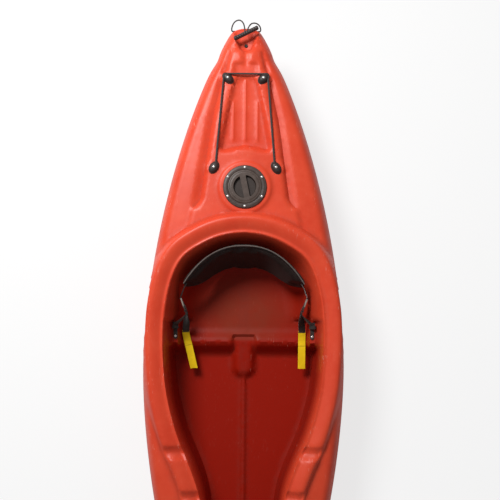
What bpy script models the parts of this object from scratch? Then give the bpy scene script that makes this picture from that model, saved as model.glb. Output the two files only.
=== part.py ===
"""A short sit-on-top recreational kayak with its hatch, deck fittings, carry handles and backrest.

Metres, +Z up, +X towards the bow and +Y to port. The origin is on the ground under the middle
of the boat, which stands on the runners of its flat bottom.
"""

import math

import bmesh
import bpy
import numpy as np
from mathutils import Matrix, Vector
from mathutils.geometry import delaunay_2d_cdt

# Hull, overall
LENGTH = 2.44
BEAM = 0.71
WALL = 0.006
FLANK_REACH = 0.05
FLANK_POWER = 1.75
FLANK_FULLNESS = 0.78
TIP_RADIUS = 0.107
SIDE_HEIGHT = 0.215
SHEER = 0.025

# Deck
SHOULDER_WIDTH = 0.045
SHOULDER_RISE = 0.046
SHOULDER_DROP = 0.010
CROWN_RISE = 0.012
CROWN_WIDTH = 0.07
SPINE_RISE = 0.006

# Bottom
BILGE_WIDTH = 0.115
RUNNER_DEPTH = 0.008
RUNNER_HALF = 0.014
RUNNER_SIDE = 0.007
SIDE_RUNNER_Y = 0.2324 * BEAM
SIDE_RUNNER_END = 0.172 * LENGTH
KEEL_END = 0.41 * LENGTH
FLAT_HALF = 0.184 * LENGTH
ROCKER = 0.10

# Cockpit, its rolled rim and the foot notches
COCKPIT_REAR = 0.755 - LENGTH / 2
COCKPIT_FRONT = LENGTH / 2 - 0.430
SIDE_DECK = 0.074
COCKPIT_HALF = BEAM / 2 - SIDE_DECK
RIM_HEIGHT = 0.275
RIM_RISE = 0.022
RIM_LOW_X = COCKPIT_REAR + 0.515
ROLL_WIDTH = 0.070
ROLL_CREST = 0.009
LIP_RADIUS = 0.004
FOOT_FLOOR = 0.050
FOOT_FLOOR_RISE = 0.02
FOOT_WALL = 0.022
FLOOR_RIB_HALF = 0.010
FLOOR_RIB_HEIGHT = 0.010
FLOOR_RIB_END = COCKPIT_FRONT - 0.070
NOTCH_FIRST = COCKPIT_FRONT - 0.492
NOTCH_SPACING = 0.150
NOTCH_COUNT = 3
NOTCH_HALF = 0.022
NOTCH_DEPTH = 0.014

# Seat
SEAT_PAN = 0.085
SEAT_BOWL = 0.130
SEAT_LIP = 0.020
SEAT_FRONT = COCKPIT_REAR + 0.382
SEAT_FRONT_RUN = 0.055
BENCH_HEIGHT = 0.165
BENCH_INNER = COCKPIT_HALF - 0.044
BENCH_LENGTH = 0.080
RIM_EDGE = COCKPIT_HALF - 0.006
POMMEL_HEIGHT = 0.088
POMMEL_HALF = 0.022
POMMEL_SKIRT = 0.030
POMMEL_REACH = 0.090
SEAT_NOTCH_HALF = 0.046

# Storage well behind the hatch
WELL_LENGTH = 0.240
WELL_REAR = 0.196 - LENGTH / 2
WELL_FRONT = WELL_REAR + WELL_LENGTH
WELL_REAR_HALF = 0.036
WELL_FRONT_HALF = 0.082
WELL_REAR_FLOOR = 0.270
WELL_FRONT_FLOOR = 0.260
WELL_DRAFT = 1.4
RIB_HALF = 0.0045
RIB_HEIGHT = 0.004
SIDE_RIB_Y = 0.043
SIDE_RIB_LENGTH = 0.140

# End recesses, the terrace and the channels of the deck
RECESS_FLOOR = 0.252
RECESS_LENGTH = 0.090
RECESS_HALF = 0.046
RECESS_NARROW = 0.018
RECESS_DRAFT = 2.5
TERRACE_FLOOR = 0.276
TERRACE_HALF = 0.040
TERRACE_LENGTH = 0.040
GUTTER_HALF = 0.007
CHANNEL_DEPTH = 0.013
CHANNEL_SLOPE = 0.45
CHANNEL_WALL_SLOPE = 1.8
CHANNEL_FRONT = COCKPIT_REAR - 0.087
BOW_CHANNEL_REAR = COCKPIT_FRONT + 0.110

# Hatch
HATCH_X = COCKPIT_REAR - 0.162
HATCH_SEAT = 0.288
BOSS_RADIUS = 0.089
BOSS_DRAFT = 0.7
HATCH_BORE = 0.056
GASKET_THICK = 0.0012
FRAME_RADIUS = 0.077
FRAME_THICK = 0.005
FRAME_NECK = 0.0505
NECK_WALL = 0.004
NECK_DEPTH = 0.028
SCREW_CIRCLE = 0.069
HATCH_SCREWS = 6
LID_RADIUS = 0.060
LID_REBATE = 0.002
LID_PROUD = 0.0025
LID_PLUG_DEPTH = 0.014
GRIP_DEPTH = 0.012
GRIP_HALF = 0.0095
GRIP_POCKET = 0.043
GRIP_TURN = math.radians(12)
O_RING_SECTION = 0.0012

# Fittings
GAP = 0.0003
SCREW_HEAD = 0.0045
SCREW_HEAD_HEIGHT = 0.0026
SCREW_SHANK = 0.0022
EYE_LENGTH = 0.049
EYE_WIDTH = 0.033
EYE_HEIGHT = 0.013
EYE_SEAT = 0.027
REAR_EYE = (WELL_REAR + 0.003, 0.090 * BEAM)
FRONT_EYE = (HATCH_X - 0.070, 0.155 * BEAM)
BUNGEE_RADIUS = 0.00325
BUNGEE_RISE = 0.0055
BUNGEE_TURN = 0.0155
BUNGEE_ENTRY = (0.009, 0.0055)
PLUG_X = LENGTH / 2 - RECESS_LENGTH + 0.020
PLUG_RADIUS = 0.0055
PLUG_HEAD = 0.0065
PLUG_DEPTH = 0.010

# Carry handles
BORE_INSET = 0.011
BORE_HEIGHT = 0.240
BORE_RADIUS = 0.004
ROPE_RADIUS = 0.0025
TOGGLE_LENGTH = 0.096
TOGGLE_RADIUS = 0.008
TOGGLE_X = LENGTH / 2 - 0.034
TOGGLE_HEIGHT = 0.288
TOGGLE_TURN = math.radians(27)
SOLID_TIP = 0.045

# Backrest and its straps
BACK_HALF_WIDTH = COCKPIT_HALF - 0.068
BACK_TOP_X = COCKPIT_REAR + 0.047
BACK_TOP_WRAP = 0.130
BACK_TOP_HEIGHT = 0.285
BACK_TOP_SAG = 0.020
BACK_BOTTOM_X = COCKPIT_REAR + 0.110
BACK_BOTTOM_WRAP = 0.084
BACK_WING_HEIGHT = 0.190
BACK_THICK = 0.024
BACK_CLEARANCE = 0.006
PIPING_RADIUS = 0.002
STRAP_WIDTH = 0.025
STRAP_THICK = 0.0015
BUCKLE_LENGTH = 0.030
BUCKLE_HEIGHT = 0.031
BUCKLE_THICK = 0.006
BUCKLE_PLACE = (SEAT_FRONT - 0.139, BACK_HALF_WIDTH + 0.0075, 0.200)
BUCKLE_TURN = math.radians(20)
HOOK_LENGTH = 0.018
HOOK_HEIGHT = 0.028
HOOK_THICK = 0.0075
ANCHOR_X = SEAT_FRONT - 0.029
ANCHOR_Y = BENCH_INNER + 0.0092
ANCHOR_LENGTH = 0.040
ANCHOR_WIDTH = 0.014
ANCHOR_THICK = 0.003
ANCHOR_SCREW = 0.010
LOOP_RADIUS = 0.0016
TAB_WIDTH = 0.0265
TAB_THICK = 0.003
PORT_TAB_DRIFT = 0.0
STARBOARD_TAB_DRIFT = 0.030

HALF_LENGTH = LENGTH / 2
BORE_X = HALF_LENGTH - BORE_INSET
CREASE_MARGIN = 0.004


def clear_scene():
    for obj in list(bpy.data.objects):
        bpy.data.objects.remove(obj, do_unlink=True)


def material(name, colour, roughness, metallic=0.0):
    found = bpy.data.materials.get(name)
    if found:
        return found
    made = bpy.data.materials.new(name)
    made.use_nodes = True
    shader = made.node_tree.nodes["Principled BSDF"]
    shader.inputs["Base Color"].default_value = (*colour, 1.0)
    shader.inputs["Roughness"].default_value = roughness
    shader.inputs["Metallic"].default_value = metallic
    return made


def hull_plastic():
    return material("hull_plastic", (0.62, 0.075, 0.035), 0.42)


def fitting_plastic():
    return material("fitting_plastic", (0.030, 0.022, 0.020), 0.45)


def seal_rubber():
    return material("seal_rubber", (0.015, 0.015, 0.015), 0.75)


def steel():
    return material("steel", (0.62, 0.61, 0.60), 0.28, 1.0)


def cord_sheath():
    return material("cord_sheath", (0.020, 0.016, 0.015), 0.8)


def webbing_black():
    return material("webbing_black", (0.018, 0.012, 0.010), 0.75)


def webbing_yellow():
    return material("webbing_yellow", (0.80, 0.58, 0.02), 0.7)


def pad_cloth():
    return material("pad_cloth", (0.016, 0.008, 0.006), 0.85)


def buckle_plastic():
    return material("buckle_plastic", (0.11, 0.085, 0.075), 0.5)


def add_object(name, mesh_data, finish):
    """Puts a bmesh into the scene as one object with one material."""
    mesh = bpy.data.meshes.new(name)
    mesh_data.to_mesh(mesh)
    mesh_data.free()
    obj = bpy.data.objects.new(name, mesh)
    bpy.context.scene.collection.objects.link(obj)
    if finish:
        mesh.materials.append(finish)
    return obj


def outward(mesh_data):
    bmesh.ops.recalc_face_normals(mesh_data, faces=mesh_data.faces)
    if mesh_data.calc_volume(signed=True) < 0:
        bmesh.ops.reverse_faces(mesh_data, faces=mesh_data.faces)
    return mesh_data


def boolean(obj, tool, operation="DIFFERENCE"):
    """Cuts or joins with another object, which is then only a guide."""
    modifier = obj.modifiers.new(tool.name, "BOOLEAN")
    modifier.operation = operation
    modifier.object = tool
    tool.hide_render = True
    tool.display_type = "WIRE"


def smooth_shaded(obj, angle=40):
    obj.data.shade_smooth()
    obj.data.set_sharp_from_angle(angle=math.radians(angle))
    return obj


# Plan outlines


def half_beam(x):
    """Half the beam at a station: the flank curve, cut by the arc of the blunt end."""
    reach = np.clip(np.abs(x) / (HALF_LENGTH + FLANK_REACH), 0, 1)
    flank = BEAM / 2 * (1 - reach**FLANK_POWER) ** FLANK_FULLNESS
    along = (np.abs(x) - HALF_LENGTH + TIP_RADIUS) / TIP_RADIUS
    arc = TIP_RADIUS * np.sqrt(np.clip(np.where(along < 0, 1 + 4 * along**2, 1 - along**2), 1e-12, None))
    return (flank**-10 + arc**-10) ** -0.1


def gunwale_outline(per_quarter):
    """The boat's outline in plan, with its points closer together round the ends."""
    share = np.arange(per_quarter) / per_quarter
    x = HALF_LENGTH * (1 - (1 - share) ** 2)
    quarter = np.column_stack([x, half_beam(x)])
    tip = np.array([[HALF_LENGTH, 0.0]])
    upper = np.vstack([quarter, tip])
    lower = quarter[:0:-1] * (1, -1)
    bow = np.vstack([upper, lower])
    stern = np.vstack([quarter[:1] * (1, -1), (quarter[1:] * (-1, -1)), tip * (-1, 1)])
    back = quarter[:0:-1] * (-1, 1)
    return np.vstack([bow, stern, back])


def smooth_curve(points, steps, closed=False):
    """A curve through the points (Catmull-Rom), with this many steps between each two."""
    points = np.asarray(points, float)
    count = len(points)
    spans = count if closed else count - 1
    result = []
    for i in range(spans):
        if closed:
            p0, p1, p2, p3 = (points[(i + k) % count] for k in (-1, 0, 1, 2))
        else:
            p1, p2 = points[i], points[i + 1]
            p0 = points[i - 1] if i else 2 * p1 - p2
            p3 = points[i + 2] if i + 2 < count else 2 * p2 - p1
        for t in np.arange(steps) / steps:
            result.append(
                p1
                + 0.5 * t * (p2 - p0)
                + t**2 * (p0 - 2.5 * p1 + 2 * p2 - 0.5 * p3)
                + t**3 * (1.5 * (p1 - p2) + 0.5 * (p3 - p0))
            )
    if not closed:
        result.append(points[-1])
    return np.array(result)


def eased(points, rounds=2):
    """A line with its corners cut, so that it bends gently and never swings past its points."""
    points = np.asarray(points, float)
    for _ in range(rounds):
        start, end = points[:-1], points[1:]
        cut = np.stack([0.75 * start + 0.25 * end, 0.25 * start + 0.75 * end], axis=1)
        cut = cut.reshape(-1, points.shape[1])
        points = np.vstack([points[:1], cut[1:-1], points[-1:]])
    return points


def mirrored(half):
    """A closed outline from its port half, which starts and ends on the centre line."""
    half = np.asarray(half, float)
    return np.vstack([half, half[-2:0:-1] * (1, -1)])


def cockpit_outline(steps):
    """The inner edge of the cockpit rim: wide round the seat, narrow at the feet."""
    rear, front = COCKPIT_REAR, COCKPIT_FRONT
    half = (
        (rear, 0.0),
        (rear + 0.011, 0.285),
        (rear + 0.040, 0.534),
        (rear + 0.085, 0.762),
        (rear + 0.150, 0.893),
        (rear + 0.240, 0.972),
        (rear + 0.330, 1.0),
        (rear + 0.430, 0.993),
        (rear + 0.565, 0.940),
        (rear + 0.700, 0.808),
        (rear + 0.830, 0.612),
        (rear + 0.915, 0.516),
        (front - 0.230, 0.463),
        (front - 0.110, 0.406),
        (front - 0.035, 0.302),
        (front - 0.004, 0.142),
        (front, 0.0),
    )
    return smooth_curve(mirrored(half), steps, closed=True) * (1, COCKPIT_HALF)


def well_outline(steps):
    """The floor of the storage well, hollow towards the round hatch seat at its front."""
    rear = smooth_curve(
        [(WELL_REAR, 0), (WELL_REAR + 0.004, WELL_REAR_HALF * 0.7), (WELL_REAR + 0.014, WELL_REAR_HALF)],
        steps,
    )
    front = smooth_curve(
        [
            (WELL_FRONT + 0.008, WELL_FRONT_HALF),
            (WELL_FRONT + 0.016, WELL_FRONT_HALF - 0.006),
            (WELL_FRONT + 0.010, WELL_FRONT_HALF * 0.6),
            (WELL_FRONT, 0),
        ],
        steps,
    )
    side = np.linspace(rear[-1], front[0], 7)[1:-1]
    return mirrored(np.vstack([rear, side, front]))


def recess_outline(steps):
    """The V-shaped recess in the deck at an end, drawn at the bow and open over the tip."""
    inner = HALF_LENGTH - RECESS_LENGTH
    half = [(inner, 0), (inner + 0.002, RECESS_NARROW * 0.6), (inner + 0.009, RECESS_NARROW)]
    curve = smooth_curve(half, steps)
    corner = (HALF_LENGTH + 0.02, RECESS_HALF + 0.008)
    side = np.linspace(curve[-1], corner, 3 * steps)[1:]
    return mirrored(np.vstack([curve, side, [(HALF_LENGTH + 0.02, 0)]]))


def rectangle(x0, x1, half):
    return np.array([(x0, 0), (x0, half), (x1, half), (x1, 0), (x1, -half), (x0, -half)], float)


def channel_edges(steps):
    """The outer and the inner edge of the stern deck's port channel, stern end first."""
    stations = [WELL_REAR + reach for reach in (-0.106, -0.074, 0.113, 0.187)] + [HATCH_X + 0.012]
    outer = list(zip(stations, (0.0873, 0.1099, 0.1845, 0.2056, 0.2563)))
    inner = list(zip(stations, (0.0817, 0.0845, 0.1451, 0.1648, 0.2070)))
    outer.append((CHANNEL_FRONT, 0.2676))
    inner += [(CHANNEL_FRONT - 0.025, 0.2197), (CHANNEL_FRONT - 0.006, 0.2423)]
    return smooth_curve(outer, steps) * (1, BEAM), smooth_curve(inner, steps) * (1, BEAM)


def bow_channel_edges(steps):
    """The bow deck's port channel: the forward part of the stern's, turned to face ahead."""
    rear = -BOW_CHANNEL_REAR
    outer, inner = channel_edges(steps)
    kept_outer = outer[outer[:, 0] < rear] * (-1, 1)
    kept_inner = inner[inner[:, 0] < rear - 0.006] * (-1, 1)
    last = (kept_outer[-1] + kept_inner[-1]) / 2
    return kept_outer, np.vstack([kept_inner, last + (-0.008, 0.004)])


# Heights


def signed_distance(points, outline):
    """How far each plan point lies inside a closed outline, negative outside it."""
    result = np.empty(len(points))
    start = outline
    along = np.roll(outline, -1, axis=0) - start
    length = np.maximum((along**2).sum(axis=1), 1e-18)
    for first in range(0, len(points), 4000):
        part = points[first : first + 4000]
        apart = part[:, None, :] - start[None]
        share = np.clip((apart * along).sum(axis=2) / length, 0, 1)
        gap = np.hypot(*np.moveaxis(apart - share[..., None] * along, 2, 0)).min(axis=1)
        above = part[:, 1:2] >= start[:, 1]
        crossing = above != (part[:, 1:2] >= (start + along)[:, 1])
        rise = np.where(along[:, 1] == 0, 1e-18, along[:, 1])
        reach = start[:, 0] + (part[:, 1:2] - start[:, 1]) / rise * along[:, 0]
        inside = (crossing & (part[:, 0:1] < reach)).sum(axis=1) % 2 == 1
        result[first : first + 4000] = np.where(inside, gap, -gap)
    return result


def line_distance(points, line):
    """How far each plan point lies from an open line."""
    line = np.asarray(line, float)
    start, along = line[:-1], np.diff(line, axis=0)
    length = np.maximum((along**2).sum(axis=1), 1e-18)
    apart = points[:, None, :] - start[None]
    share = np.clip((apart * along).sum(axis=2) / length, 0, 1)
    return np.hypot(*np.moveaxis(apart - share[..., None] * along, 2, 0)).min(axis=1)


def ramp(value, start, end):
    """0 before start, 1 after end, smooth between."""
    share = np.clip((value - start) / (end - start), 0, 1)
    return share * share * (3 - 2 * share)


def gunwale_height(x):
    return SIDE_HEIGHT + SHEER * (np.abs(x) / HALF_LENGTH) ** 2


def rim_height(x):
    """The rim dips beside the seat and rises to both ends of the cockpit."""
    run = np.where(x < RIM_LOW_X, RIM_LOW_X - COCKPIT_REAR, COCKPIT_FRONT - RIM_LOW_X)
    return RIM_HEIGHT + RIM_RISE * np.clip((x - RIM_LOW_X) / run, -1.1, 1.1) ** 2


def seats():
    """Flat round seats of the four deck eyes: place and radius."""
    return [
        (x, y * side, radius)
        for side in (1, -1)
        for (x, y), radius in ((REAR_EYE, EYE_SEAT - 0.004), (FRONT_EYE, EYE_SEAT))
    ]


def spine_outline():
    """The raised middle of the stern deck, between the channels and on to the cockpit rim."""
    inner = channel_edges(6)[1]
    front = [(CHANNEL_FRONT, 0.265 * BEAM), (COCKPIT_REAR, 0.289 * BEAM), (COCKPIT_REAR, 0)]
    return mirrored(np.vstack([(inner[0, 0], 0), inner, front]))


OUTLINES = {
    "gunwale": gunwale_outline(90),
    "cockpit": cockpit_outline(12),
    "well": well_outline(8),
    "recess": recess_outline(8),
    "spine": spine_outline(),
}


def floor_height(points):
    """Height of the footwell floor, the seat, its benches and its pommel."""
    x, y = points[:, 0], points[:, 1]
    across = np.abs(y)
    foot = FOOT_FLOOR + FOOT_FLOOR_RISE * np.clip(x / COCKPIT_FRONT, 0, 1) ** 2
    rib = 1 - ramp(across, FLOOR_RIB_HALF * 0.5, FLOOR_RIB_HALF)
    rib = rib * (1 - ramp(x, FLOOR_RIB_END, FLOOR_RIB_END + 0.02))
    pan = SEAT_PAN + SEAT_LIP * ramp(x, SEAT_FRONT - 0.050, SEAT_FRONT)
    notch = (1 - ramp(across, SEAT_NOTCH_HALF - 0.008, SEAT_NOTCH_HALF)) * ramp(x, SEAT_FRONT - 0.026, SEAT_FRONT - 0.016)
    pan = pan - 0.8 * SEAT_LIP * notch
    front = ramp(x, SEAT_FRONT, SEAT_FRONT + SEAT_FRONT_RUN)
    floor = pan * (1 - front) + (foot + FLOOR_RIB_HEIGHT * rib) * front
    core = line_distance(points, [(SEAT_FRONT, 0), (SEAT_FRONT + POMMEL_REACH, 0)])
    skirt = 1 - ramp(core, POMMEL_HALF, POMMEL_HALF + POMMEL_SKIRT)
    pommel = foot + (POMMEL_HEIGHT - 0.1 * (x - SEAT_FRONT) - foot) * skirt
    floor = np.where(x > SEAT_FRONT, np.maximum(floor, pommel), floor)
    bench_rear = SEAT_FRONT - BENCH_LENGTH + 0.006
    bench = ramp(across, BENCH_INNER - 0.008, BENCH_INNER)
    bench = bench * ramp(x, bench_rear - 0.012, bench_rear)
    bench = bench * (1 - ramp(x, SEAT_FRONT + 0.006, SEAT_FRONT + 0.030))
    return floor + (BENCH_HEIGHT - floor) * bench


def roll_profile(outward_distance):
    """Height of the rolled rim over its lip, from the lip out to the crease against the deck."""
    stations = (0.0, 0.003, 0.009, 0.020, 0.034, 0.047, 0.058, 0.066, 0.075, 0.100)
    heights = (0.0, -0.0005, -0.004, 0.001, 0.0065, ROLL_CREST, 0.006, -0.006, -0.026, -0.10)
    scale = ROLL_WIDTH / 0.070
    return np.interp(outward_distance / scale, stations, heights)


def plain_deck(points):
    """The deck without its features: rounded shoulders, a low crown and the raised spine."""
    x = points[:, 0]
    inset = signed_distance(points, OUTLINES["gunwale"])
    shoulder = 1 - np.clip(1 - inset / SHOULDER_WIDTH, 0, None) ** 2.6
    crown = 1 - np.exp(-np.clip(inset - SHOULDER_WIDTH, 0, None) / CROWN_WIDTH)
    rise = SHOULDER_RISE - SHOULDER_DROP * (np.abs(x) / HALF_LENGTH) ** 2
    spine = ramp(signed_distance(points, OUTLINES["spine"]), 0, 0.006)
    return gunwale_height(x) + rise * shoulder + CROWN_RISE * crown + SPINE_RISE * spine


def deck_height(points):
    """Height of the hull's upper side at each plan point, gunwale to gunwale."""
    x, y = points[:, 0], points[:, 1]
    across = np.abs(y)
    deck = plain_deck(points)
    folded = np.column_stack([x, across])

    # Channels of the stern and bow decks: a broad slope inboard, then a steep wall
    for edges in (channel_edges(6), bow_channel_edges(6)):
        outer, inner = edges
        inside = signed_distance(folded, np.vstack([outer, inner[::-1]]))
        slope = CHANNEL_SLOPE * line_distance(folded, outer)
        wall = CHANNEL_WALL_SLOPE * line_distance(folded, inner)
        depth = np.clip(np.minimum(slope, wall), 0, CHANNEL_DEPTH)
        deck = deck - np.where(inside > 0, depth, 0)

    # Storage well, terrace, gutters and end recesses: each is a level floor with sloping walls
    well = signed_distance(points, OUTLINES["well"])
    share = np.clip((x - WELL_REAR) / (WELL_FRONT - WELL_REAR), 0, 1)
    well_floor = WELL_REAR_FLOOR + (WELL_FRONT_FLOOR - WELL_REAR_FLOOR) * share
    for segment in rib_lines():
        ridge = 1 - ramp(line_distance(points, segment), RIB_HALF * 0.3, RIB_HALF)
        well_floor = well_floor + RIB_HEIGHT * ridge
    deck = np.minimum(deck, well_floor + WELL_DRAFT * np.clip(-well, 0, None))
    terrace = signed_distance(points, terrace_outline())
    deck = np.minimum(deck, TERRACE_FLOOR + WELL_DRAFT * np.clip(-terrace, 0, None))
    gutter = signed_distance(points, gutter_outline())
    deck = np.minimum(deck, TERRACE_FLOOR - 0.001 + RECESS_DRAFT * np.clip(-gutter, 0, None))
    recess = signed_distance(np.column_stack([np.abs(x), y]), OUTLINES["recess"])
    deck = np.minimum(deck, RECESS_FLOOR + RECESS_DRAFT * np.clip(-recess, 0, None))

    # Round hatch seat, raised and level
    from_hatch = np.hypot(x - HATCH_X, y)
    deck = np.maximum(deck, HATCH_SEAT - BOSS_DRAFT * np.clip(from_hatch - BOSS_RADIUS, 0, None))

    # Cockpit: rolled rim outside its lip, walls and floor inside it
    inside = signed_distance(points, OUTLINES["cockpit"])
    rim = rim_height(x)
    height = np.maximum(deck, rim + roll_profile(np.clip(-inside, 0, None)))
    floor = floor_height(points)
    bowl = 1 - ramp(x, SEAT_FRONT - BENCH_LENGTH - 0.010, SEAT_FRONT - BENCH_LENGTH + 0.010)
    wall_run = FOOT_WALL + (SEAT_BOWL - FOOT_WALL) * bowl
    power = 1.6 + 0.6 * bowl
    fall = (1 - np.clip((inside - LIP_RADIUS / 2) / wall_run, 0, 1)) ** power
    height = np.where(inside > 0, floor + (rim - floor) * fall, height)

    # Foot notches across the roll
    for station in notch_stations():
        along = 1 - np.clip((np.abs(x - station) - 0.002) / NOTCH_HALF, 0, 1) ** 1.5
        ends = ramp(inside, -ROLL_WIDTH + 0.004, -ROLL_WIDTH + 0.016) * (inside < LIP_RADIUS)
        height = height - NOTCH_DEPTH * along * ends

    # Flat seats of the fittings
    for seat_x, seat_y, radius in seats():
        away = np.hypot(x - seat_x, y - seat_y)
        flat = 1 - ramp(away, radius, radius * 1.25)
        height = height + (seat_level(seat_x, seat_y) - height) * flat
    return height


def seat_level(x, y):
    """The plain deck's height under a fitting."""
    return float(plain_deck(np.array([(x, y)]))[0])


def height_at(x, y):
    return float(deck_height(np.array([(x, y)]))[0])


def rib_lines():
    rear = WELL_REAR + 0.006
    front = WELL_FRONT - 0.014
    return [
        [(rear, 0), (front, 0)],
        [(front - SIDE_RIB_LENGTH, SIDE_RIB_Y), (front, SIDE_RIB_Y)],
        [(front - SIDE_RIB_LENGTH, -SIDE_RIB_Y), (front, -SIDE_RIB_Y)],
    ]


def terrace_outline():
    return rectangle(WELL_REAR - 0.012 - TERRACE_LENGTH, WELL_REAR - 0.006, TERRACE_HALF)


def gutter_outline():
    return rectangle(RECESS_LENGTH - HALF_LENGTH - 0.004, WELL_REAR - TERRACE_LENGTH, GUTTER_HALF)


def notch_stations():
    return [NOTCH_FIRST + i * NOTCH_SPACING for i in range(NOTCH_COUNT)]


def plain_bottom(points):
    """Height of the underside without its runners: rounded bilges, a flat bottom with rocker."""
    x = points[:, 0]
    inset = signed_distance(points, OUTLINES["gunwale"])
    rocker = ROCKER * np.clip((np.abs(x) - FLAT_HALF) / (HALF_LENGTH - FLAT_HALF), 0, 1) ** 2.2
    bottom = RUNNER_DEPTH + rocker
    share = 1 - np.clip(1 - inset / BILGE_WIDTH, 0, None) ** 2.4
    top = gunwale_height(x)
    return top - (top - bottom) * share


def bottom_height(points):
    """Height of the hull's underside at each plan point, with the keel and the side runners."""
    x, across = points[:, 0], np.abs(points[:, 1])
    keel = 1 - np.clip((across - RUNNER_HALF) / RUNNER_SIDE, 0, 1)
    keel = keel * (1 - ramp(np.abs(x), KEEL_END - 0.06, KEEL_END))
    side = 1 - np.clip((np.abs(across - SIDE_RUNNER_Y) - RUNNER_HALF) / RUNNER_SIDE, 0, 1)
    side = side * (1 - ramp(np.abs(x), SIDE_RUNNER_END, SIDE_RUNNER_END + 0.05))
    return plain_bottom(points) - RUNNER_DEPTH * np.maximum(keel, side)


def eroded(height, points, sign):
    """The same surface set back by the wall's thickness, down for the deck and up for the bottom."""
    around = [height(points) - sign * WALL]
    for turn in np.arange(8) * math.tau / 8:
        for lean in (math.pi / 4, math.pi / 2):
            reach = WALL * math.sin(lean) * np.array([math.cos(turn), math.sin(turn)])
            around.append(height(points + reach) - sign * WALL * math.cos(lean))
    stack = np.array(around)
    return stack.min(axis=0) if sign > 0 else stack.max(axis=0)


# Plan lines along which the sheets are creased


def offset_outline(outline, distance):
    """A closed outline moved outwards by a distance, inwards where it is negative."""
    ahead = np.roll(outline, -1, axis=0) - np.roll(outline, 1, axis=0)
    ahead = ahead / np.maximum(np.hypot(*ahead.T), 1e-12)[:, None]
    normal = np.column_stack([ahead[:, 1], -ahead[:, 0]])
    area = 0.5 * np.sum(outline[:, 0] * np.roll(outline[:, 1], -1) - outline[:, 1] * np.roll(outline[:, 0], -1))
    return outline + normal * distance * np.sign(area)


def closed_edges(outline, distance, keep=lambda p: np.ones(len(p), bool)):
    """Creases along an offset of an outline, only where it is still that far from the outline."""
    line = offset_outline(outline, distance)
    true_distance = -signed_distance(line, outline)
    good = np.abs(true_distance - distance) < 0.12 * abs(distance) + 1e-4
    good &= keep(line)
    pieces, run = [], []
    for i in list(range(len(line))) + [0]:
        if good[i]:
            run.append(line[i])
        elif run:
            pieces.append(np.array(run))
            run = []
    if run:
        pieces.append(np.array(run))
    return pieces


def straight(start, end, parts):
    return np.linspace(start, end, parts + 1)


def both_sides(line):
    line = np.asarray(line, float)
    return [line, line * (1, -1)]


def circle(x, y, radius, count):
    turn = np.arange(count + 1) * math.tau / count
    return np.column_stack([x + radius * np.cos(turn), y + radius * np.sin(turn)])


def form_creases(rim_offsets, seat_offsets, gunwale_offsets, set_back):
    """The plan lines where the deck's main forms bend, set back for the inner side of the wall."""
    lines = []
    rim = cockpit_outline(2 if set_back else 3)
    for distance in rim_offsets:
        lines += closed_edges(rim, distance)
    for distance in seat_offsets:
        lines += closed_edges(rim[::2], distance, lambda p: p[:, 0] < SEAT_FRONT - BENCH_LENGTH - 0.01)
    for distance in gunwale_offsets:
        lines += closed_edges(gunwale_outline(18), distance)
    steps = (set_back, set_back + 0.012) if set_back == 0 else (-0.003, set_back, set_back + 0.012)
    for distance in steps:
        for outline in (recess_outline(3) * (-1, 1), recess_outline(3), well_outline(3)):
            lines += closed_edges(outline, distance)
    for outline in (terrace_outline(), gutter_outline()):
        for distance in steps[:-1]:
            lines += closed_edges(outline, distance)
    for outer, inner in (channel_edges(3), bow_channel_edges(3)):
        foot = inner + (0, CHANNEL_DEPTH / CHANNEL_WALL_SLOPE)
        foot = foot[foot[:, 1] < np.interp(foot[:, 0], *sorted_line(outer)) - 0.002]
        for line in (outer, inner, foot):
            lines += both_sides(line)
    lines += floor_creases()
    for station in notch_stations():
        lip = np.interp(station, *sorted_line(cockpit_port_side()))
        for shift in (-NOTCH_HALF - 0.002, 0, NOTCH_HALF + 0.002):
            lines += both_sides(straight((station + shift, lip), (station + shift, lip + ROLL_WIDTH), 5))
    return lines


def deck_creases():
    """All the plan lines where the deck's upper side bends."""
    lines = form_creases(
        (0.075, 0.066, 0.058, 0.047, 0.030, 0.018, 0.009, 0.0, -0.005, -0.014, -0.0245),
        (-0.045, -0.070, -0.100, -0.132),
        (-0.010, -0.024, -0.046),
        0.0,
    )
    lines.append(circle(HATCH_X, 0, BOSS_RADIUS, 32))
    lines.append(circle(HATCH_X, 0, BOSS_RADIUS + 0.007, 32))
    for (x0, y0), (x1, y1) in rib_lines():
        for side in (-RIB_HALF, 0, RIB_HALF):
            end = 0 if side else RIB_HALF
            lines.append(straight((x0 - end, y0 + side), (x1 + end, y1 + side), 3))
    for x, y, radius in seats():
        lines.append(circle(x, y, radius, 12))
    return lines


def cavity_creases():
    """The same main forms seen from inside the hollow."""
    lines = form_creases(
        (0.081, 0.070, 0.060, 0.040, 0.014, 0.006, 0.0, -0.006, -0.012, -0.020),
        (-0.045, -0.070, -0.110),
        (-0.020, -0.050),
        WALL,
    )
    lines.append(circle(HATCH_X, 0, BOSS_RADIUS - 0.004, 16))
    lines.append(circle(HATCH_X, 0, BOSS_RADIUS + 0.014, 16))
    recess = HALF_LENGTH - RECESS_LENGTH + 0.004
    lines += [straight((recess * end, 0), ((recess + 0.016) * end, 0), 2) for end in (-1, 1)]
    return lines


def sorted_line(line):
    order = np.argsort(line[:, 0])
    return line[order, 0], line[order, 1]


def cockpit_port_side():
    rim = OUTLINES["cockpit"]
    return rim[rim[:, 1] > 0]


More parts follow.
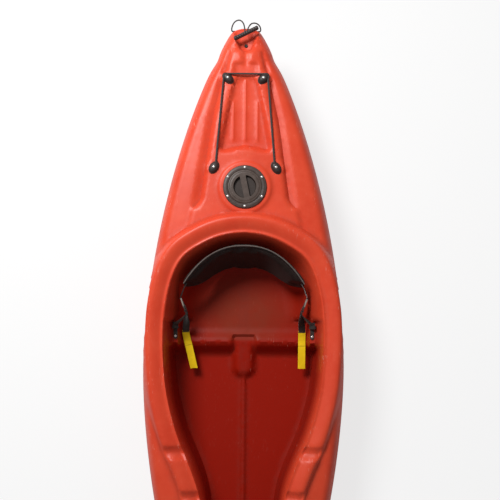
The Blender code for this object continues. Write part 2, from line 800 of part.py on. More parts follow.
def floor_creases():
    """Plan lines of the seat front, the benches, the pommel and the floor rib."""
    lines = []
    half = BENCH_INNER - 0.010
    for x in (SEAT_FRONT - 0.050, SEAT_FRONT - 0.010, SEAT_FRONT, SEAT_FRONT + 0.020, SEAT_FRONT + 0.055):
        lines.append(straight((x, -half), (x, half), 10))
    rear = SEAT_FRONT - BENCH_LENGTH + 0.004
    for y in (BENCH_INNER - 0.009, BENCH_INNER + 0.001):
        lines += both_sides(straight((rear, y), (SEAT_FRONT + 0.006, y), 3))
    for x in (rear - 0.012, rear, rear + 0.012):
        lines += both_sides(straight((x, BENCH_INNER - 0.080), (x, RIM_EDGE), 5))
    lines += both_sides(straight((SEAT_FRONT + 0.030, BENCH_INNER - 0.009), (SEAT_FRONT + 0.030, RIM_EDGE), 2))
    for y in (FLOOR_RIB_HALF * 0.5, FLOOR_RIB_HALF):
        start = SEAT_FRONT + POMMEL_REACH + POMMEL_HALF + POMMEL_SKIRT
        lines += both_sides(straight((start, y), (FLOOR_RIB_END, y), 8))
    for radius in (POMMEL_HALF, POMMEL_HALF + POMMEL_SKIRT / 2, POMMEL_HALF + POMMEL_SKIRT):
        turn = np.linspace(-math.pi / 2, math.pi / 2, 9)
        centre = SEAT_FRONT + POMMEL_REACH
        arc = np.column_stack([centre + radius * np.cos(turn), radius * np.sin(turn)])
        lines.append(np.vstack([(SEAT_FRONT + 0.02, -radius), arc, (SEAT_FRONT + 0.02, radius)]))
    return lines


def bottom_creases():
    lines = []
    gunwale = gunwale_outline(14)
    for distance in (-0.012, -0.030, -0.056, -0.085, -0.116):
        lines += closed_edges(gunwale, distance)
    for y in (RUNNER_HALF, RUNNER_HALF + RUNNER_SIDE):
        lines += both_sides(straight((-KEEL_END, y), (KEEL_END, y), 20))
    for shift in (-RUNNER_HALF - RUNNER_SIDE, -RUNNER_HALF, RUNNER_HALF, RUNNER_HALF + RUNNER_SIDE):
        y = SIDE_RUNNER_Y + shift
        end = SIDE_RUNNER_END + 0.05
        lines += both_sides(np.vstack([(-end, y), straight((-SIDE_RUNNER_END, y), (SIDE_RUNNER_END, y), 6), (end, y)]))
    return lines


# Sheets and shells


def sheet(boundary, creases, height, fill):
    """A triangulated sheet inside a boundary, creased along plan lines and lifted to its height."""
    points = [tuple(p) for p in boundary]
    edges = [(i, (i + 1) % len(points)) for i in range(len(points))]
    for line in creases:
        previous = None
        for point, room in zip(line, signed_distance(line, boundary)):
            if room < CREASE_MARGIN:
                previous = None
                continue
            points.append(tuple(point))
            if previous is not None:
                edges.append((previous, len(points) - 1))
            previous = len(points) - 1
    fixed = np.array(points)
    for x in np.arange(-HALF_LENGTH, HALF_LENGTH, fill):
        for y in np.arange(-BEAM / 2, BEAM / 2, fill):
            spot = np.array([(x, y + fill / 2 * (round(x / fill) % 2))])
            apart = np.hypot(*(fixed - spot).T).min()
            if signed_distance(spot, boundary)[0] > fill / 3 and apart > fill / 2.5:
                points.append(tuple(spot[0]))
    loop = [list(range(len(boundary)))]
    flat, _, faces, *_ = delaunay_2d_cdt([Vector(p) for p in points], edges, loop, 1, 1e-5)
    plan = np.array([tuple(p) for p in flat])
    return plan, height(plan), faces


def shell(name, boundary, edge_height, top, bottom, finish):
    """A closed solid of an upper and a lower sheet that share their boundary."""
    mesh_data = bmesh.new()
    rim = {tuple(np.round(p, 5)): z for p, z in zip(boundary, edge_height)}
    shared = {}
    for plan, heights, faces, flip in (top + (False,), bottom + (True,)):
        verts = []
        for point, z in zip(plan, heights):
            key = tuple(np.round(point, 5))
            if key in rim:
                if key not in shared:
                    shared[key] = mesh_data.verts.new((*point, rim[key]))
                verts.append(shared[key])
            else:
                verts.append(mesh_data.verts.new((*point, z)))
        for face in faces:
            corners = [verts[i] for i in face]
            mesh_data.faces.new(corners[::-1] if flip else corners)
    return add_object(name, outward(mesh_data), finish)


def make_hull():
    """The rotomoulded shell, hollow between its deck and its bottom."""
    boundary = gunwale_outline(22)
    top = sheet(boundary, deck_creases(), deck_height, 0.085)
    bottom = sheet(boundary, bottom_creases(), bottom_height, 0.11)
    hull = shell("hull", boundary, gunwale_height(boundary[:, 0]), top, bottom, hull_plastic())

    inner = offset_outline(boundary, -WALL)
    inner = inner[np.abs(inner[:, 0]) < HALF_LENGTH - SOLID_TIP]
    top = sheet(inner, cavity_creases(), lambda p: eroded(deck_height, p, 1), 0.11)
    bottom = sheet(inner, cavity_bottom_creases(), lambda p: eroded(plain_bottom, p, -1), 0.14)
    edge = (eroded(deck_height, inner, 1) + eroded(plain_bottom, inner, -1)) / 2
    boolean(hull, shell("cavity", inner, edge, top, bottom, None))
    boolean(hull, drill("hatch_bore", HATCH_X, 0, HATCH_SEAT, HATCH_BORE, 0.06, 32))
    boolean(hull, hull_drillings())
    return hull


def cavity_bottom_creases():
    lines = []
    for distance in (-0.020, -0.045, -0.085, -0.120):
        lines += closed_edges(gunwale_outline(12), distance)
    return lines


def hull_drillings():
    """The small holes of the hull: screw holes, the bores through both ends and the drain."""
    hole = SCREW_SHANK + GAP
    spots = [(x, y, HATCH_SEAT, hole, 0.04) for x, y in hatch_screw_places()]
    spots += [(x, y, seat_level(x, y), hole, 0.03) for x, y, radius in seats()]
    spots += [(ANCHOR_X + ANCHOR_SCREW, y, BENCH_HEIGHT, hole, 0.03) for y in (ANCHOR_Y, -ANCHOR_Y)]
    spots += [(x, 0, BORE_HEIGHT, BORE_RADIUS, 0.2) for x in (-BORE_X, BORE_X)]
    spots.append((-PLUG_X, 0, RECESS_FLOOR, PLUG_RADIUS, 0.03))
    mesh_data = bmesh.new()
    for x, y, z, radius, depth in spots:
        turn = Matrix.Rotation(math.pi / 2 if z == BORE_HEIGHT else 0, 4, "X")
        bmesh.ops.create_cone(
            mesh_data,
            cap_ends=True,
            segments=8 if radius == hole else 12,
            radius1=radius,
            radius2=radius,
            depth=depth,
            matrix=Matrix.Translation((x, y, z)) @ turn,
        )
    return add_object("hull_drillings", mesh_data, None)


# Turned, swept and lofted pieces


def turned(name, profile, finish, sides, at, ring=False):
    """A profile of (radius, height) points turned about an upright axis; a ring's closes on itself."""
    mesh_data = bmesh.new()
    verts = [mesh_data.verts.new((r, 0, z)) for r, z in profile]
    follow = verts[1:] + verts[:1] if ring else verts[1:]
    edges = [mesh_data.edges.new(pair) for pair in zip(verts, follow)]
    bmesh.ops.spin(
        mesh_data,
        geom=verts + edges,
        cent=(0, 0, 0),
        axis=(0, 0, 1),
        angle=math.tau,
        steps=sides,
        use_merge=True,
    )
    bmesh.ops.remove_doubles(mesh_data, verts=mesh_data.verts, dist=1e-6)
    bmesh.ops.translate(mesh_data, vec=at, verts=mesh_data.verts)
    return smooth_shaded(add_object(name, outward(mesh_data), finish))


def drill(name, x, y, z, radius, depth, sides=8):
    """A round upright cutter whose middle is at the place given."""
    mesh_data = bmesh.new()
    bmesh.ops.create_cone(
        mesh_data,
        cap_ends=True,
        segments=sides,
        radius1=radius,
        radius2=radius,
        depth=depth,
        matrix=Matrix.Translation((x, y, z)),
    )
    return add_object(name, mesh_data, None)


def tube(name, points, radius, finish, resolution=2):
    """A cord: a curve with a round bevel and filled ends."""
    curve = bpy.data.curves.new(name, "CURVE")
    curve.dimensions = "3D"
    curve.bevel_depth = radius
    curve.bevel_resolution = resolution
    curve.use_fill_caps = True
    spline = curve.splines.new("POLY")
    spline.points.add(len(points) - 1)
    for point, place in zip(spline.points, points):
        point.co = (*place, 1)
    obj = bpy.data.objects.new(name, curve)
    bpy.context.scene.collection.objects.link(obj)
    if finish:
        curve.materials.append(finish)
    return obj


def tube_mesh(name, points, radius):
    """The same tube as a mesh, to cut or join with."""
    guide = tube(name + "_line", points, radius, None, 3)
    mesh = bpy.data.meshes.new_from_object(guide)
    bpy.data.objects.remove(guide, do_unlink=True)
    obj = bpy.data.objects.new(name, mesh)
    bpy.context.scene.collection.objects.link(obj)
    return obj


def loft(name, sections, finish):
    """A closed solid through sections of equal point count, capped at both ends.

    Its quads are cut so that the two broad sides of a twisted strap stay parallel.
    """
    mesh_data = bmesh.new()
    rings = [[mesh_data.verts.new(point) for point in section] for section in sections]
    count = len(sections[0])
    for lower, upper in zip(rings, rings[1:]):
        for i in range(count):
            j = (i + 1) % count
            if i < count / 2:
                mesh_data.faces.new((lower[i], lower[j], upper[j]))
                mesh_data.faces.new((lower[i], upper[j], upper[i]))
            else:
                mesh_data.faces.new((lower[i], lower[j], upper[i]))
                mesh_data.faces.new((lower[j], upper[j], upper[i]))
    mesh_data.faces.new(rings[0][::-1])
    mesh_data.faces.new(rings[-1])
    return smooth_shaded(add_object(name, outward(mesh_data), finish))


def webbing(name, line, turns, width, thickness, finish):
    """A flat strap along a line; turns is how far its width leans over from upright at each point."""
    stations = np.column_stack([[tuple(p) for p in line], turns])
    stations = eased(stations)
    line = [Vector(station[:3]) for station in stations]
    sections = []
    for i, (point, turn) in enumerate(zip(line, stations[:, 3])):
        ahead = line[min(i + 1, len(line) - 1)] - line[max(i - 1, 0)]
        across = Vector((0, math.sin(turn), math.cos(turn)))
        across = (across - across.project(ahead)).normalized() * width / 2
        through = ahead.cross(across).normalized() * thickness / 2
        corners = (across + through, -across + through, -across - through, across - through)
        sections.append([point + corner for corner in corners])
    return loft(name, sections, finish)


def block(name, size, place, turn, round_edge, finish):
    """A box with rounded edges, turned about the upright."""
    mesh_data = bmesh.new()
    bmesh.ops.create_cube(mesh_data, size=1)
    bmesh.ops.scale(mesh_data, vec=size, verts=mesh_data.verts)
    bmesh.ops.bevel(
        mesh_data,
        geom=mesh_data.edges[:],
        offset=round_edge,
        segments=2,
        profile=0.5,
        affect="EDGES",
        material=-1,
    )
    whole = Matrix.Translation(place) @ Matrix.Rotation(turn, 4, "Z")
    bmesh.ops.transform(mesh_data, matrix=whole, verts=mesh_data.verts)
    return smooth_shaded(add_object(name, outward(mesh_data), finish))


def screw(name, x, y, seat, length):
    """A pan-head screw whose head stands on a seat height."""
    low, high = seat - length, seat + GAP
    profile = [
        (0, low),
        (SCREW_SHANK, low + SCREW_SHANK),
        (SCREW_SHANK, high),
        (SCREW_HEAD, high),
        (SCREW_HEAD, high + SCREW_HEAD_HEIGHT * 0.4),
        (SCREW_HEAD * 0.7, high + SCREW_HEAD_HEIGHT * 0.9),
        (0, high + SCREW_HEAD_HEIGHT),
    ]
    return turned(name, profile, steel(), 10, (x, y, 0))


# Hatch


def hatch_screw_places():
    """The six screws, the first of them abaft the hatch."""
    turns = [math.pi + i * math.tau / HATCH_SCREWS for i in range(HATCH_SCREWS)]
    return [(HATCH_X + SCREW_CIRCLE * math.cos(t), SCREW_CIRCLE * math.sin(t)) for t in turns]


def make_hatch():
    """A screw-in deck plate: gasket, frame with its neck through the deck, six screws and a lid."""
    at = (HATCH_X, 0, 0)
    low = HATCH_SEAT + 2 * GAP + GASKET_THICK
    high = low + FRAME_THICK
    holes = bmesh.new()
    for x, y in hatch_screw_places():
        bmesh.ops.create_cone(
            holes,
            cap_ends=True,
            segments=8,
            radius1=SCREW_SHANK + GAP,
            radius2=SCREW_SHANK + GAP,
            depth=0.03,
            matrix=Matrix.Translation((x, y, low)),
        )
    holes = add_object("hatch_screw_holes", holes, None)

    neck = FRAME_NECK + NECK_WALL
    gasket_inner, gasket_outer = neck + 2 * GAP, FRAME_RADIUS - 0.001
    gasket_low, gasket_high = HATCH_SEAT + GAP, low - GAP
    gasket_profile = [
        (gasket_inner, gasket_low),
        (gasket_outer, gasket_low),
        (gasket_outer, gasket_high),
        (gasket_inner, gasket_high),
    ]
    boolean(turned("hatch_gasket", gasket_profile, seal_rubber(), 36, at, ring=True), holes)

    rebate = LID_RADIUS + 2 * GAP
    frame_profile = [
        (FRAME_NECK, HATCH_SEAT - NECK_DEPTH),
        (neck, HATCH_SEAT - NECK_DEPTH),
        (neck, low),
        (FRAME_RADIUS, low),
        (FRAME_RADIUS, low + FRAME_THICK * 0.4),
        (FRAME_RADIUS - 0.003, high),
        (rebate, high),
        (rebate, high - LID_REBATE),
        (FRAME_NECK, high - LID_REBATE),
    ]
    boolean(turned("hatch_frame", frame_profile, fitting_plastic(), 36, at, ring=True), holes)
    for i, (x, y) in enumerate(hatch_screw_places()):
        screw(f"hatch_screw_{i + 1}", x, y, high, 0.018)

    plug = FRAME_NECK - GAP - O_RING_SECTION
    seal_height = high - LID_REBATE - 0.006
    seal = [
        (plug + O_RING_SECTION * math.cos(t), seal_height + O_RING_SECTION * math.sin(t))
        for t in np.arange(6) * math.tau / 6
    ]
    turned("hatch_o_ring", seal, seal_rubber(), 36, at, ring=True)

    groove = O_RING_SECTION + GAP
    under = high - LID_REBATE + GAP
    top = high + LID_PROUD
    lid_profile = [
        (0, under - LID_PLUG_DEPTH),
        (plug - 0.001, under - LID_PLUG_DEPTH),
        (plug, under - LID_PLUG_DEPTH + 0.001),
        (plug, seal_height - groove),
        (plug - groove, seal_height - groove),
        (plug - groove, seal_height + groove),
        (plug, seal_height + groove),
        (plug, under),
        (LID_RADIUS, under),
        (LID_RADIUS, top - 0.0015),
        (LID_RADIUS - 0.0015, top),
        (0, top),
    ]
    lid = turned("hatch_lid", lid_profile, fitting_plastic(), 36, at)
    for side, name in ((1, "port_pocket"), (-1, "starboard_pocket")):
        boolean(lid, lid_pocket(name, side, top))


def lid_pocket(name, side, top):
    """A half-moon finger pocket beside the lid's grip bar."""
    mesh_data = bmesh.new()
    bmesh.ops.create_cone(
        mesh_data,
        cap_ends=True,
        segments=24,
        radius1=GRIP_POCKET - 0.003,
        radius2=GRIP_POCKET + 0.003,
        depth=2 * GRIP_DEPTH,
    )
    cut = bmesh.ops.bisect_plane(
        mesh_data,
        geom=mesh_data.verts[:] + mesh_data.edges[:] + mesh_data.faces[:],
        plane_co=(0, side * GRIP_HALF, 0),
        plane_no=(0, -side, 0),
        clear_outer=True,
    )
    rim = [e for e in cut["geom_cut"] if isinstance(e, bmesh.types.BMEdge)]
    bmesh.ops.contextual_create(mesh_data, geom=rim)
    whole = Matrix.Translation((HATCH_X, 0, top)) @ Matrix.Rotation(GRIP_TURN, 4, "Z")
    bmesh.ops.transform(mesh_data, matrix=whole, verts=mesh_data.verts)
    return add_object(name, outward(mesh_data), None)


# Bungee and deck eyes


def bungee_path():
    """From one front eye, round both rear eyes and back to the other front eye."""
    rear_x, rear_y = REAR_EYE
    front = seat_level(*FRONT_EYE) + BUNGEE_RISE
    rear = seat_level(*REAR_EYE) + BUNGEE_RISE
    start = Vector((FRONT_EYE[0] - BUNGEE_ENTRY[0], FRONT_EYE[1] - BUNGEE_ENTRY[1], front))
    turn = [
        Vector((rear_x + BUNGEE_TURN * math.cos(t), rear_y + BUNGEE_TURN * math.sin(t), rear))
        for t in np.linspace(math.radians(88), math.radians(180), 8)
    ]
    half = [start.lerp(turn[0], i / 8) for i in range(8)] + turn
    return half + [p * Vector((1, -1, 1)) for p in half[::-1]]


def make_deck_eye(name, place, level, turn):
    """An oval eye with a domed edge, screwed down through its middle."""
    mesh_data = bmesh.new()
    bmesh.ops.create_cone(
        mesh_data, cap_ends=True, segments=20, radius1=0.5, radius2=0.5, depth=EYE_HEIGHT
    )
    bmesh.ops.scale(mesh_data, vec=(EYE_LENGTH, EYE_WIDTH, 1), verts=mesh_data.verts)
    bmesh.ops.bevel(
        mesh_data,
        geom=[e for e in mesh_data.edges if all(v.co.z > 0 for v in e.verts)],
        offset=EYE_HEIGHT * 0.45,
        segments=2,
        profile=0.5,
        affect="EDGES",
        material=-1,
    )
    middle = (*place, level + GAP + EYE_HEIGHT / 2)
    whole = Matrix.Translation(middle) @ Matrix.Rotation(turn, 4, "Z")
    bmesh.ops.transform(mesh_data, matrix=whole, verts=mesh_data.verts)
    eye = smooth_shaded(add_object(name, outward(mesh_data), fitting_plastic()))
    boolean(eye, drill(name + "_hole", *place, level, SCREW_SHANK + GAP, 0.06))
    return eye


def make_bungee():
    """The storage well's cord and the four eyes that hold it."""
    path = bungee_path()
    passage = tube_mesh("bungee_passage", path, BUNGEE_RADIUS + 2 * GAP)
    for where, place, side, angle in (
        ("front_port", FRONT_EYE, 1, 32),
        ("front_starboard", FRONT_EYE, -1, 32),
        ("rear_port", REAR_EYE, 1, 135),
        ("rear_starboard", REAR_EYE, -1, 135),
    ):
        spot = (place[0], place[1] * side)
        level = seat_level(*spot)
        eye = make_deck_eye(f"deck_eye_{where}", spot, level, math.radians(angle) * side)
        boolean(eye, passage)
        screw(f"deck_eye_screw_{where}", *spot, level + GAP + EYE_HEIGHT, 0.026)
    first, last = path[0].lerp(path[1], 0.05), path[-1].lerp(path[-2], 0.05)
    tube("bungee_cord", [first, *path[1:-1], last], BUNGEE_RADIUS, cord_sheath(), 3)


# Carry handles and drain plug


def rope_points():
    """The bow handle's rope: out of the toggle, round the tip and through the bore in the hull."""
    tip, top = HALF_LENGTH, TOGGLE_HEIGHT
    half_bore = float(half_beam(BORE_X))
    return [
        (TOGGLE_X, 0.004, top),
        (TOGGLE_X + 0.018, 0.005, top),
        (tip + 0.004, 0.010, top + 0.002),
        (tip + 0.018, 0.024, top - 0.006),
        (tip + 0.017, 0.042, top - 0.022),
        (tip + 0.004, half_bore + 0.007, BORE_HEIGHT + 0.008),
        (BORE_X, half_bore + 0.008, BORE_HEIGHT),
        (BORE_X, half_bore - 0.002, BORE_HEIGHT),
        (BORE_X, 0.0, BORE_HEIGHT),
        (BORE_X, 0.002 - half_bore, BORE_HEIGHT),
        (BORE_X, -half_bore - 0.008, BORE_HEIGHT),
        (tip + 0.004, -half_bore - 0.006, BORE_HEIGHT + 0.010),
        (tip + 0.010, -0.038, top - 0.018),
        (tip + 0.004, -0.018, top - 0.003),
        (TOGGLE_X + 0.018, -0.006, top),
        (TOGGLE_X, -0.004, top),
    ]


def make_handle(end, turn):
    """A toggle on a rope loop; turn is nothing at the bow and half a turn at the stern."""
    whole = Matrix.Rotation(turn, 4, "Z")
    mesh_data = bmesh.new()
    bmesh.ops.create_cone(
        mesh_data,
        cap_ends=True,
        segments=16,
        radius1=TOGGLE_RADIUS,
        radius2=TOGGLE_RADIUS,
        depth=TOGGLE_LENGTH,
    )
    bmesh.ops.bevel(
        mesh_data,
        geom=[e for e in mesh_data.edges if e.verts[0].co.z * e.verts[1].co.z > 0],
        offset=0.003,
        segments=2,
        profile=0.5,
        affect="EDGES",
        material=-1,
    )
    lay = Matrix.Rotation(TOGGLE_TURN, 4, "Z") @ Matrix.Rotation(math.pi / 2, 4, "X")
    place = whole @ Matrix.Translation((TOGGLE_X, 0, TOGGLE_HEIGHT)) @ lay
    bmesh.ops.transform(mesh_data, matrix=place, verts=mesh_data.verts)
    toggle = smooth_shaded(add_object(f"{end}_toggle", outward(mesh_data), fitting_plastic()))
    route = [whole @ Vector(p) for p in eased(rope_points())]
    tube(f"{end}_rope", route, ROPE_RADIUS, cord_sheath(), 2)
    for name, way in (("port", route[:5]), ("starboard", route[:-6:-1])):
        bottom = way[0] + (way[0] - way[1]).normalized() * GAP
        boolean(toggle, tube_mesh(f"{end}_{name}_rope_hole", [bottom, *way[1:]], ROPE_RADIUS + 2 * GAP))


def make_drain_plug():
    """A push-in plug in the floor of the stern recess."""
    seat = RECESS_FLOOR + GAP
    stem = PLUG_RADIUS - GAP
    profile = [
        (0, seat - PLUG_DEPTH),
        (stem * 0.8, seat - PLUG_DEPTH),
        (stem, seat - PLUG_DEPTH * 0.8),
        (stem, seat),
        (PLUG_HEAD, seat),
        (PLUG_HEAD, seat + 0.002),
        (PLUG_HEAD * 0.8, seat + 0.003),
        (0, seat + 0.003),
    ]
    turned("drain_plug", profile, fitting_plastic(), 16, (-PLUG_X, 0, 0))


# Backrest and its straps


def back_top(s):
    """The pad's upper edge, s running from -1 to 1 across the boat."""
    x = BACK_TOP_X + BACK_TOP_WRAP * abs(s) ** 2.4
    return Vector((x, BACK_HALF_WIDTH * s, BACK_TOP_HEIGHT - BACK_TOP_SAG * s * s))


def back_bottom(s):
    """The pad's lower edge: just off the seat in the middle, higher at the wings."""
    lift = float(ramp(abs(s), 0.2, 1.0))
    x = BACK_BOTTOM_X + BACK_BOTTOM_WRAP * lift
    y = BACK_HALF_WIDTH * s
    seat = max(height_at(x + reach, y) for reach in (-BACK_THICK / 2, 0, BACK_THICK / 2))
    low = seat + BACK_CLEARANCE
    return Vector((x, y, max(low, low + (BACK_WING_HEIGHT - low) * lift)))


def make_backrest():
    """The padded band behind the seat, with a piped upper edge."""
    around = (
        (0.0, 0.0),
        (0.02, 0.3),
        (0.08, 0.46),
        (0.5, 0.52),
        (0.92, 0.46),
        (0.98, 0.3),
        (1.0, 0.0),
        (0.98, -0.3),
        (0.92, -0.46),
        (0.5, -0.5),
        (0.08, -0.46),
        (0.02, -0.3),
    )
    sections = []
    for s in np.linspace(-1, 1, 19):
        top, bottom = back_top(s), back_bottom(s)
        ahead = back_top(s + 0.01) + back_bottom(s + 0.01) - back_top(s - 0.01) - back_bottom(s - 0.01)
        normal = Vector((-ahead.y, ahead.x, 0)).normalized()
        thick = BACK_THICK * (1 - 0.5 * abs(s) ** 8)
        sections.append([top.lerp(bottom, u) + normal * thick * v for u, v in around])
    loft("backrest_pad", sections, pad_cloth())
    rise = Vector((0, 0, PIPING_RADIUS + GAP))
    line = [back_top(s) + rise for s in np.linspace(-1, 1, 33)]
    tube("backrest_piping", line, PIPING_RADIUS, buckle_plastic(), 2)


def make_side_straps(where, side, drift):
    """One side's strap: stub, buckle, hook, strap to the bench anchor, tail and pull tab."""
    def placed(x, y, z):
        return Vector((x, y * side, z))

    def leaning(*degrees):
        return [math.radians(angle) * side for angle in degrees]

    turn = -BUCKLE_TURN * side
    forward = Matrix.Rotation(turn, 3, "Z") @ Vector((1, 0, 0))
    buckle_middle = placed(*BUCKLE_PLACE)
    back_end = buckle_middle - forward * (BUCKLE_LENGTH / 2 + GAP)
    hook_middle = buckle_middle + forward * (BUCKLE_LENGTH / 2 + GAP + HOOK_LENGTH / 2)
    front_end = hook_middle + forward * (HOOK_LENGTH / 2 + 5 * GAP)
    outboard = Matrix.Rotation(turn, 3, "Z") @ Vector((0, side * 0.0022, 0))

    buckle_size = (BUCKLE_LENGTH, BUCKLE_THICK, BUCKLE_HEIGHT)
    block(f"buckle_{where}", buckle_size, buckle_middle, turn, 0.0012, buckle_plastic())
    hook_size = (HOOK_LENGTH, HOOK_THICK, HOOK_HEIGHT)
    block(f"snap_hook_{where}", hook_size, hook_middle, turn, 0.0025, fitting_plastic())

    wing = (back_top(1) + back_bottom(1)) / 2
    stub = [
        placed(wing.x + 0.0080, wing.y + 0.0075, wing.z - 0.001),
        placed(wing.x + 0.0140, wing.y + 0.0100, wing.z - 0.006),
        back_end - forward * 0.012 + Vector((0, 0, 0.003)),
        back_end - forward * 2 * GAP + Vector((0, 0, 0.003)),
    ]
    webbing(f"strap_stub_{where}", stub, leaning(0, 0, 0, 0), STRAP_WIDTH, STRAP_THICK, webbing_black())

    anchor_z = BENCH_HEIGHT + 0.0165
    loop_x = ANCHOR_X - ANCHOR_LENGTH / 2
    start = front_end + outboard
    end = placed(loop_x - LOOP_RADIUS - 4 * GAP, ANCHOR_Y, anchor_z)
    to_anchor = [
        start,
        start + forward * 0.010,
        start.lerp(end, 0.45) + placed(0, -0.005, 0.003),
        start.lerp(end, 0.75) + placed(0, -0.001, 0.001),
        end - Vector((0.010, 0, 0)),
        end,
    ]
    leans = leaning(0, 0, 12, 32, 45, 45)
    webbing(f"anchor_strap_{where}", to_anchor, leans, STRAP_WIDTH, STRAP_THICK, webbing_black())

    lane = BENCH_INNER - 0.0245
    tail_end = placed(SEAT_FRONT - 0.0415, lane, SEAT_PAN + SEAT_LIP + 0.0160)
    beside = HOOK_THICK / 2 + STRAP_THICK / 2 + 2 * GAP
    tail_start = hook_middle - outboard.normalized() * beside
    tail = [
        tail_start,
        tail_start + forward * 0.014 - Vector((0, 0, 0.014)),
        tail_start.lerp(tail_end, 0.42) - placed(0, 0.0045, 0),
        tail_start.lerp(tail_end, 0.62) - placed(0, 0.0022, 0),
        tail_start.lerp(tail_end, 0.82) - placed(0, 0.0005, 0.0015),
        tail_end,
    ]
    leans = leaning(0, -5, -28, -55, -80, -90)
    webbing(f"strap_tail_{where}", tail, leans, STRAP_WIDTH, STRAP_THICK, webbing_black())

    lip = SEAT_PAN + SEAT_LIP + TAB_THICK / 2
    tab = [
        placed(SEAT_FRONT + reach, lane - drift * share, lip + rise)
        for reach, share, rise in (
            (-0.039, 0.00, 0.0125),
            (-0.030, 0.00, 0.0090),
            (-0.017, 0.08, 0.0045),
            (-0.002, 0.20, 0.0014),
            (0.023, 0.42, 0.0003),
            (0.053, 0.66, -0.0030),
            (0.097, 1.00, -0.0120),
        )
    ]
    leans = leaning(*[-90] * len(tab))
    webbing(f"pull_tab_{where}", tab, leans, TAB_WIDTH, TAB_THICK, webbing_yellow())

    plate_z = BENCH_HEIGHT + GAP + ANCHOR_THICK / 2
    plate_size = (ANCHOR_LENGTH, ANCHOR_WIDTH, ANCHOR_THICK)
    plate = block(f"strap_anchor_{where}", plate_size, placed(ANCHOR_X, ANCHOR_Y, plate_z), 0, 0.001, fitting_plastic())
    reach = STRAP_WIDTH * 0.42
    loop = [
        placed(loop_x + 0.004, ANCHOR_Y - 0.004, plate_z),
        placed(loop_x, ANCHOR_Y - reach, plate_z + 0.003),
        placed(loop_x, ANCHOR_Y - reach, anchor_z - reach),
        placed(loop_x, ANCHOR_Y + reach, anchor_z + reach),
        placed(loop_x, ANCHOR_Y + reach, anchor_z + reach - 0.006),
        placed(loop_x + 0.004, ANCHOR_Y + 0.004, plate_z),
    ]
    boolean(plate, tube_mesh(f"anchor_loop_{where}", loop, LOOP_RADIUS), "UNION")
    screw_x = ANCHOR_X + ANCHOR_SCREW
    spot = (screw_x, ANCHOR_Y * side)
    boolean(plate, drill(f"anchor_hole_{where}", *spot, plate_z, SCREW_SHANK + GAP, 0.02))
    screw(f"anchor_screw_{where}", *spot, plate_z + ANCHOR_THICK / 2, 0.014)


clear_scene()
make_hull()
make_hatch()
make_bungee()
make_handle("bow", 0)
make_handle("stern", math.pi)
make_drain_plug()
make_backrest()
make_side_straps("port", 1, PORT_TAB_DRIFT)
make_side_straps("starboard", -1, STARBOARD_TAB_DRIFT)
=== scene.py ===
import math

import bmesh
import bpy
import numpy as np
from mathutils import Matrix, Vector
from mathutils.geometry import delaunay_2d_cdt
from mathutils.kdtree import KDTree


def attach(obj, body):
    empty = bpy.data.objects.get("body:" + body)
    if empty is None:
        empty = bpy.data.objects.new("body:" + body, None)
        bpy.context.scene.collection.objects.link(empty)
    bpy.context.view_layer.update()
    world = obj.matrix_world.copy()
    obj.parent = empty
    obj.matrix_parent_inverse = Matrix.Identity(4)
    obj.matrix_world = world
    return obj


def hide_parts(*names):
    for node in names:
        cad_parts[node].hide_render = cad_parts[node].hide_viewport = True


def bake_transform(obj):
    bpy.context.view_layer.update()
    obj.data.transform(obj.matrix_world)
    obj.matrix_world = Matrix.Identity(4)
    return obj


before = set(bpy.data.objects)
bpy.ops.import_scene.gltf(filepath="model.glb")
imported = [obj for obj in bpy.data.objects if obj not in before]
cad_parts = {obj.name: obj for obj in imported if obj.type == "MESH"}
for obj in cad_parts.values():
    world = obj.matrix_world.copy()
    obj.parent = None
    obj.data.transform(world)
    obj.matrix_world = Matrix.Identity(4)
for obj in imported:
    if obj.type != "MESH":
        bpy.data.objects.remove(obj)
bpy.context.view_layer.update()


# Hull
# One hollow shell of red polyethylene, tumbled in a heated mould, with its deck, storage well,
# cockpit, seat and foot notches formed in it. Its skin is faintly pebbled, dulled and scuffed.

LENGTH = 2.44
BEAM = 0.71
WALL = 0.006
FLANK_REACH = 0.05
FLANK_POWER = 1.75
FLANK_FULLNESS = 0.78
TIP_RADIUS = 0.107
SIDE_HEIGHT = 0.215
SHEER = 0.025
SHOULDER_WIDTH = 0.045
SHOULDER_RISE = 0.046
SHOULDER_DROP = 0.010
CROWN_RISE = 0.012
CROWN_WIDTH = 0.07
SPINE_RISE = 0.006
BILGE_WIDTH = 0.115
RUNNER_DEPTH = 0.008
RUNNER_HALF = 0.014
RUNNER_SIDE = 0.007
SIDE_RUNNER_Y = 0.2324 * BEAM
SIDE_RUNNER_END = 0.172 * LENGTH
KEEL_END = 0.41 * LENGTH
FLAT_HALF = 0.184 * LENGTH
ROCKER = 0.10
COCKPIT_REAR = 0.755 - LENGTH / 2
COCKPIT_FRONT = LENGTH / 2 - 0.430
SIDE_DECK = 0.074
COCKPIT_HALF = BEAM / 2 - SIDE_DECK
RIM_HEIGHT = 0.275
RIM_RISE = 0.022
RIM_LOW_X = COCKPIT_REAR + 0.515
ROLL_WIDTH = 0.070
ROLL_CREST = 0.009
LIP_RADIUS = 0.004
FOOT_FLOOR = 0.050
FOOT_FLOOR_RISE = 0.02
FOOT_WALL = 0.022
FLOOR_RIB_HALF = 0.010
FLOOR_RIB_HEIGHT = 0.010
FLOOR_RIB_END = COCKPIT_FRONT - 0.070
NOTCH_FIRST = COCKPIT_FRONT - 0.492
NOTCH_SPACING = 0.150
NOTCH_COUNT = 3
NOTCH_HALF = 0.022
NOTCH_DEPTH = 0.014
SEAT_PAN = 0.085
SEAT_BOWL = 0.130
SEAT_LIP = 0.020
SEAT_FRONT = COCKPIT_REAR + 0.382
SEAT_FRONT_RUN = 0.055
BENCH_HEIGHT = 0.165
BENCH_INNER = COCKPIT_HALF - 0.044
BENCH_LENGTH = 0.080
RIM_EDGE = COCKPIT_HALF - 0.006
POMMEL_HEIGHT = 0.088
POMMEL_HALF = 0.022
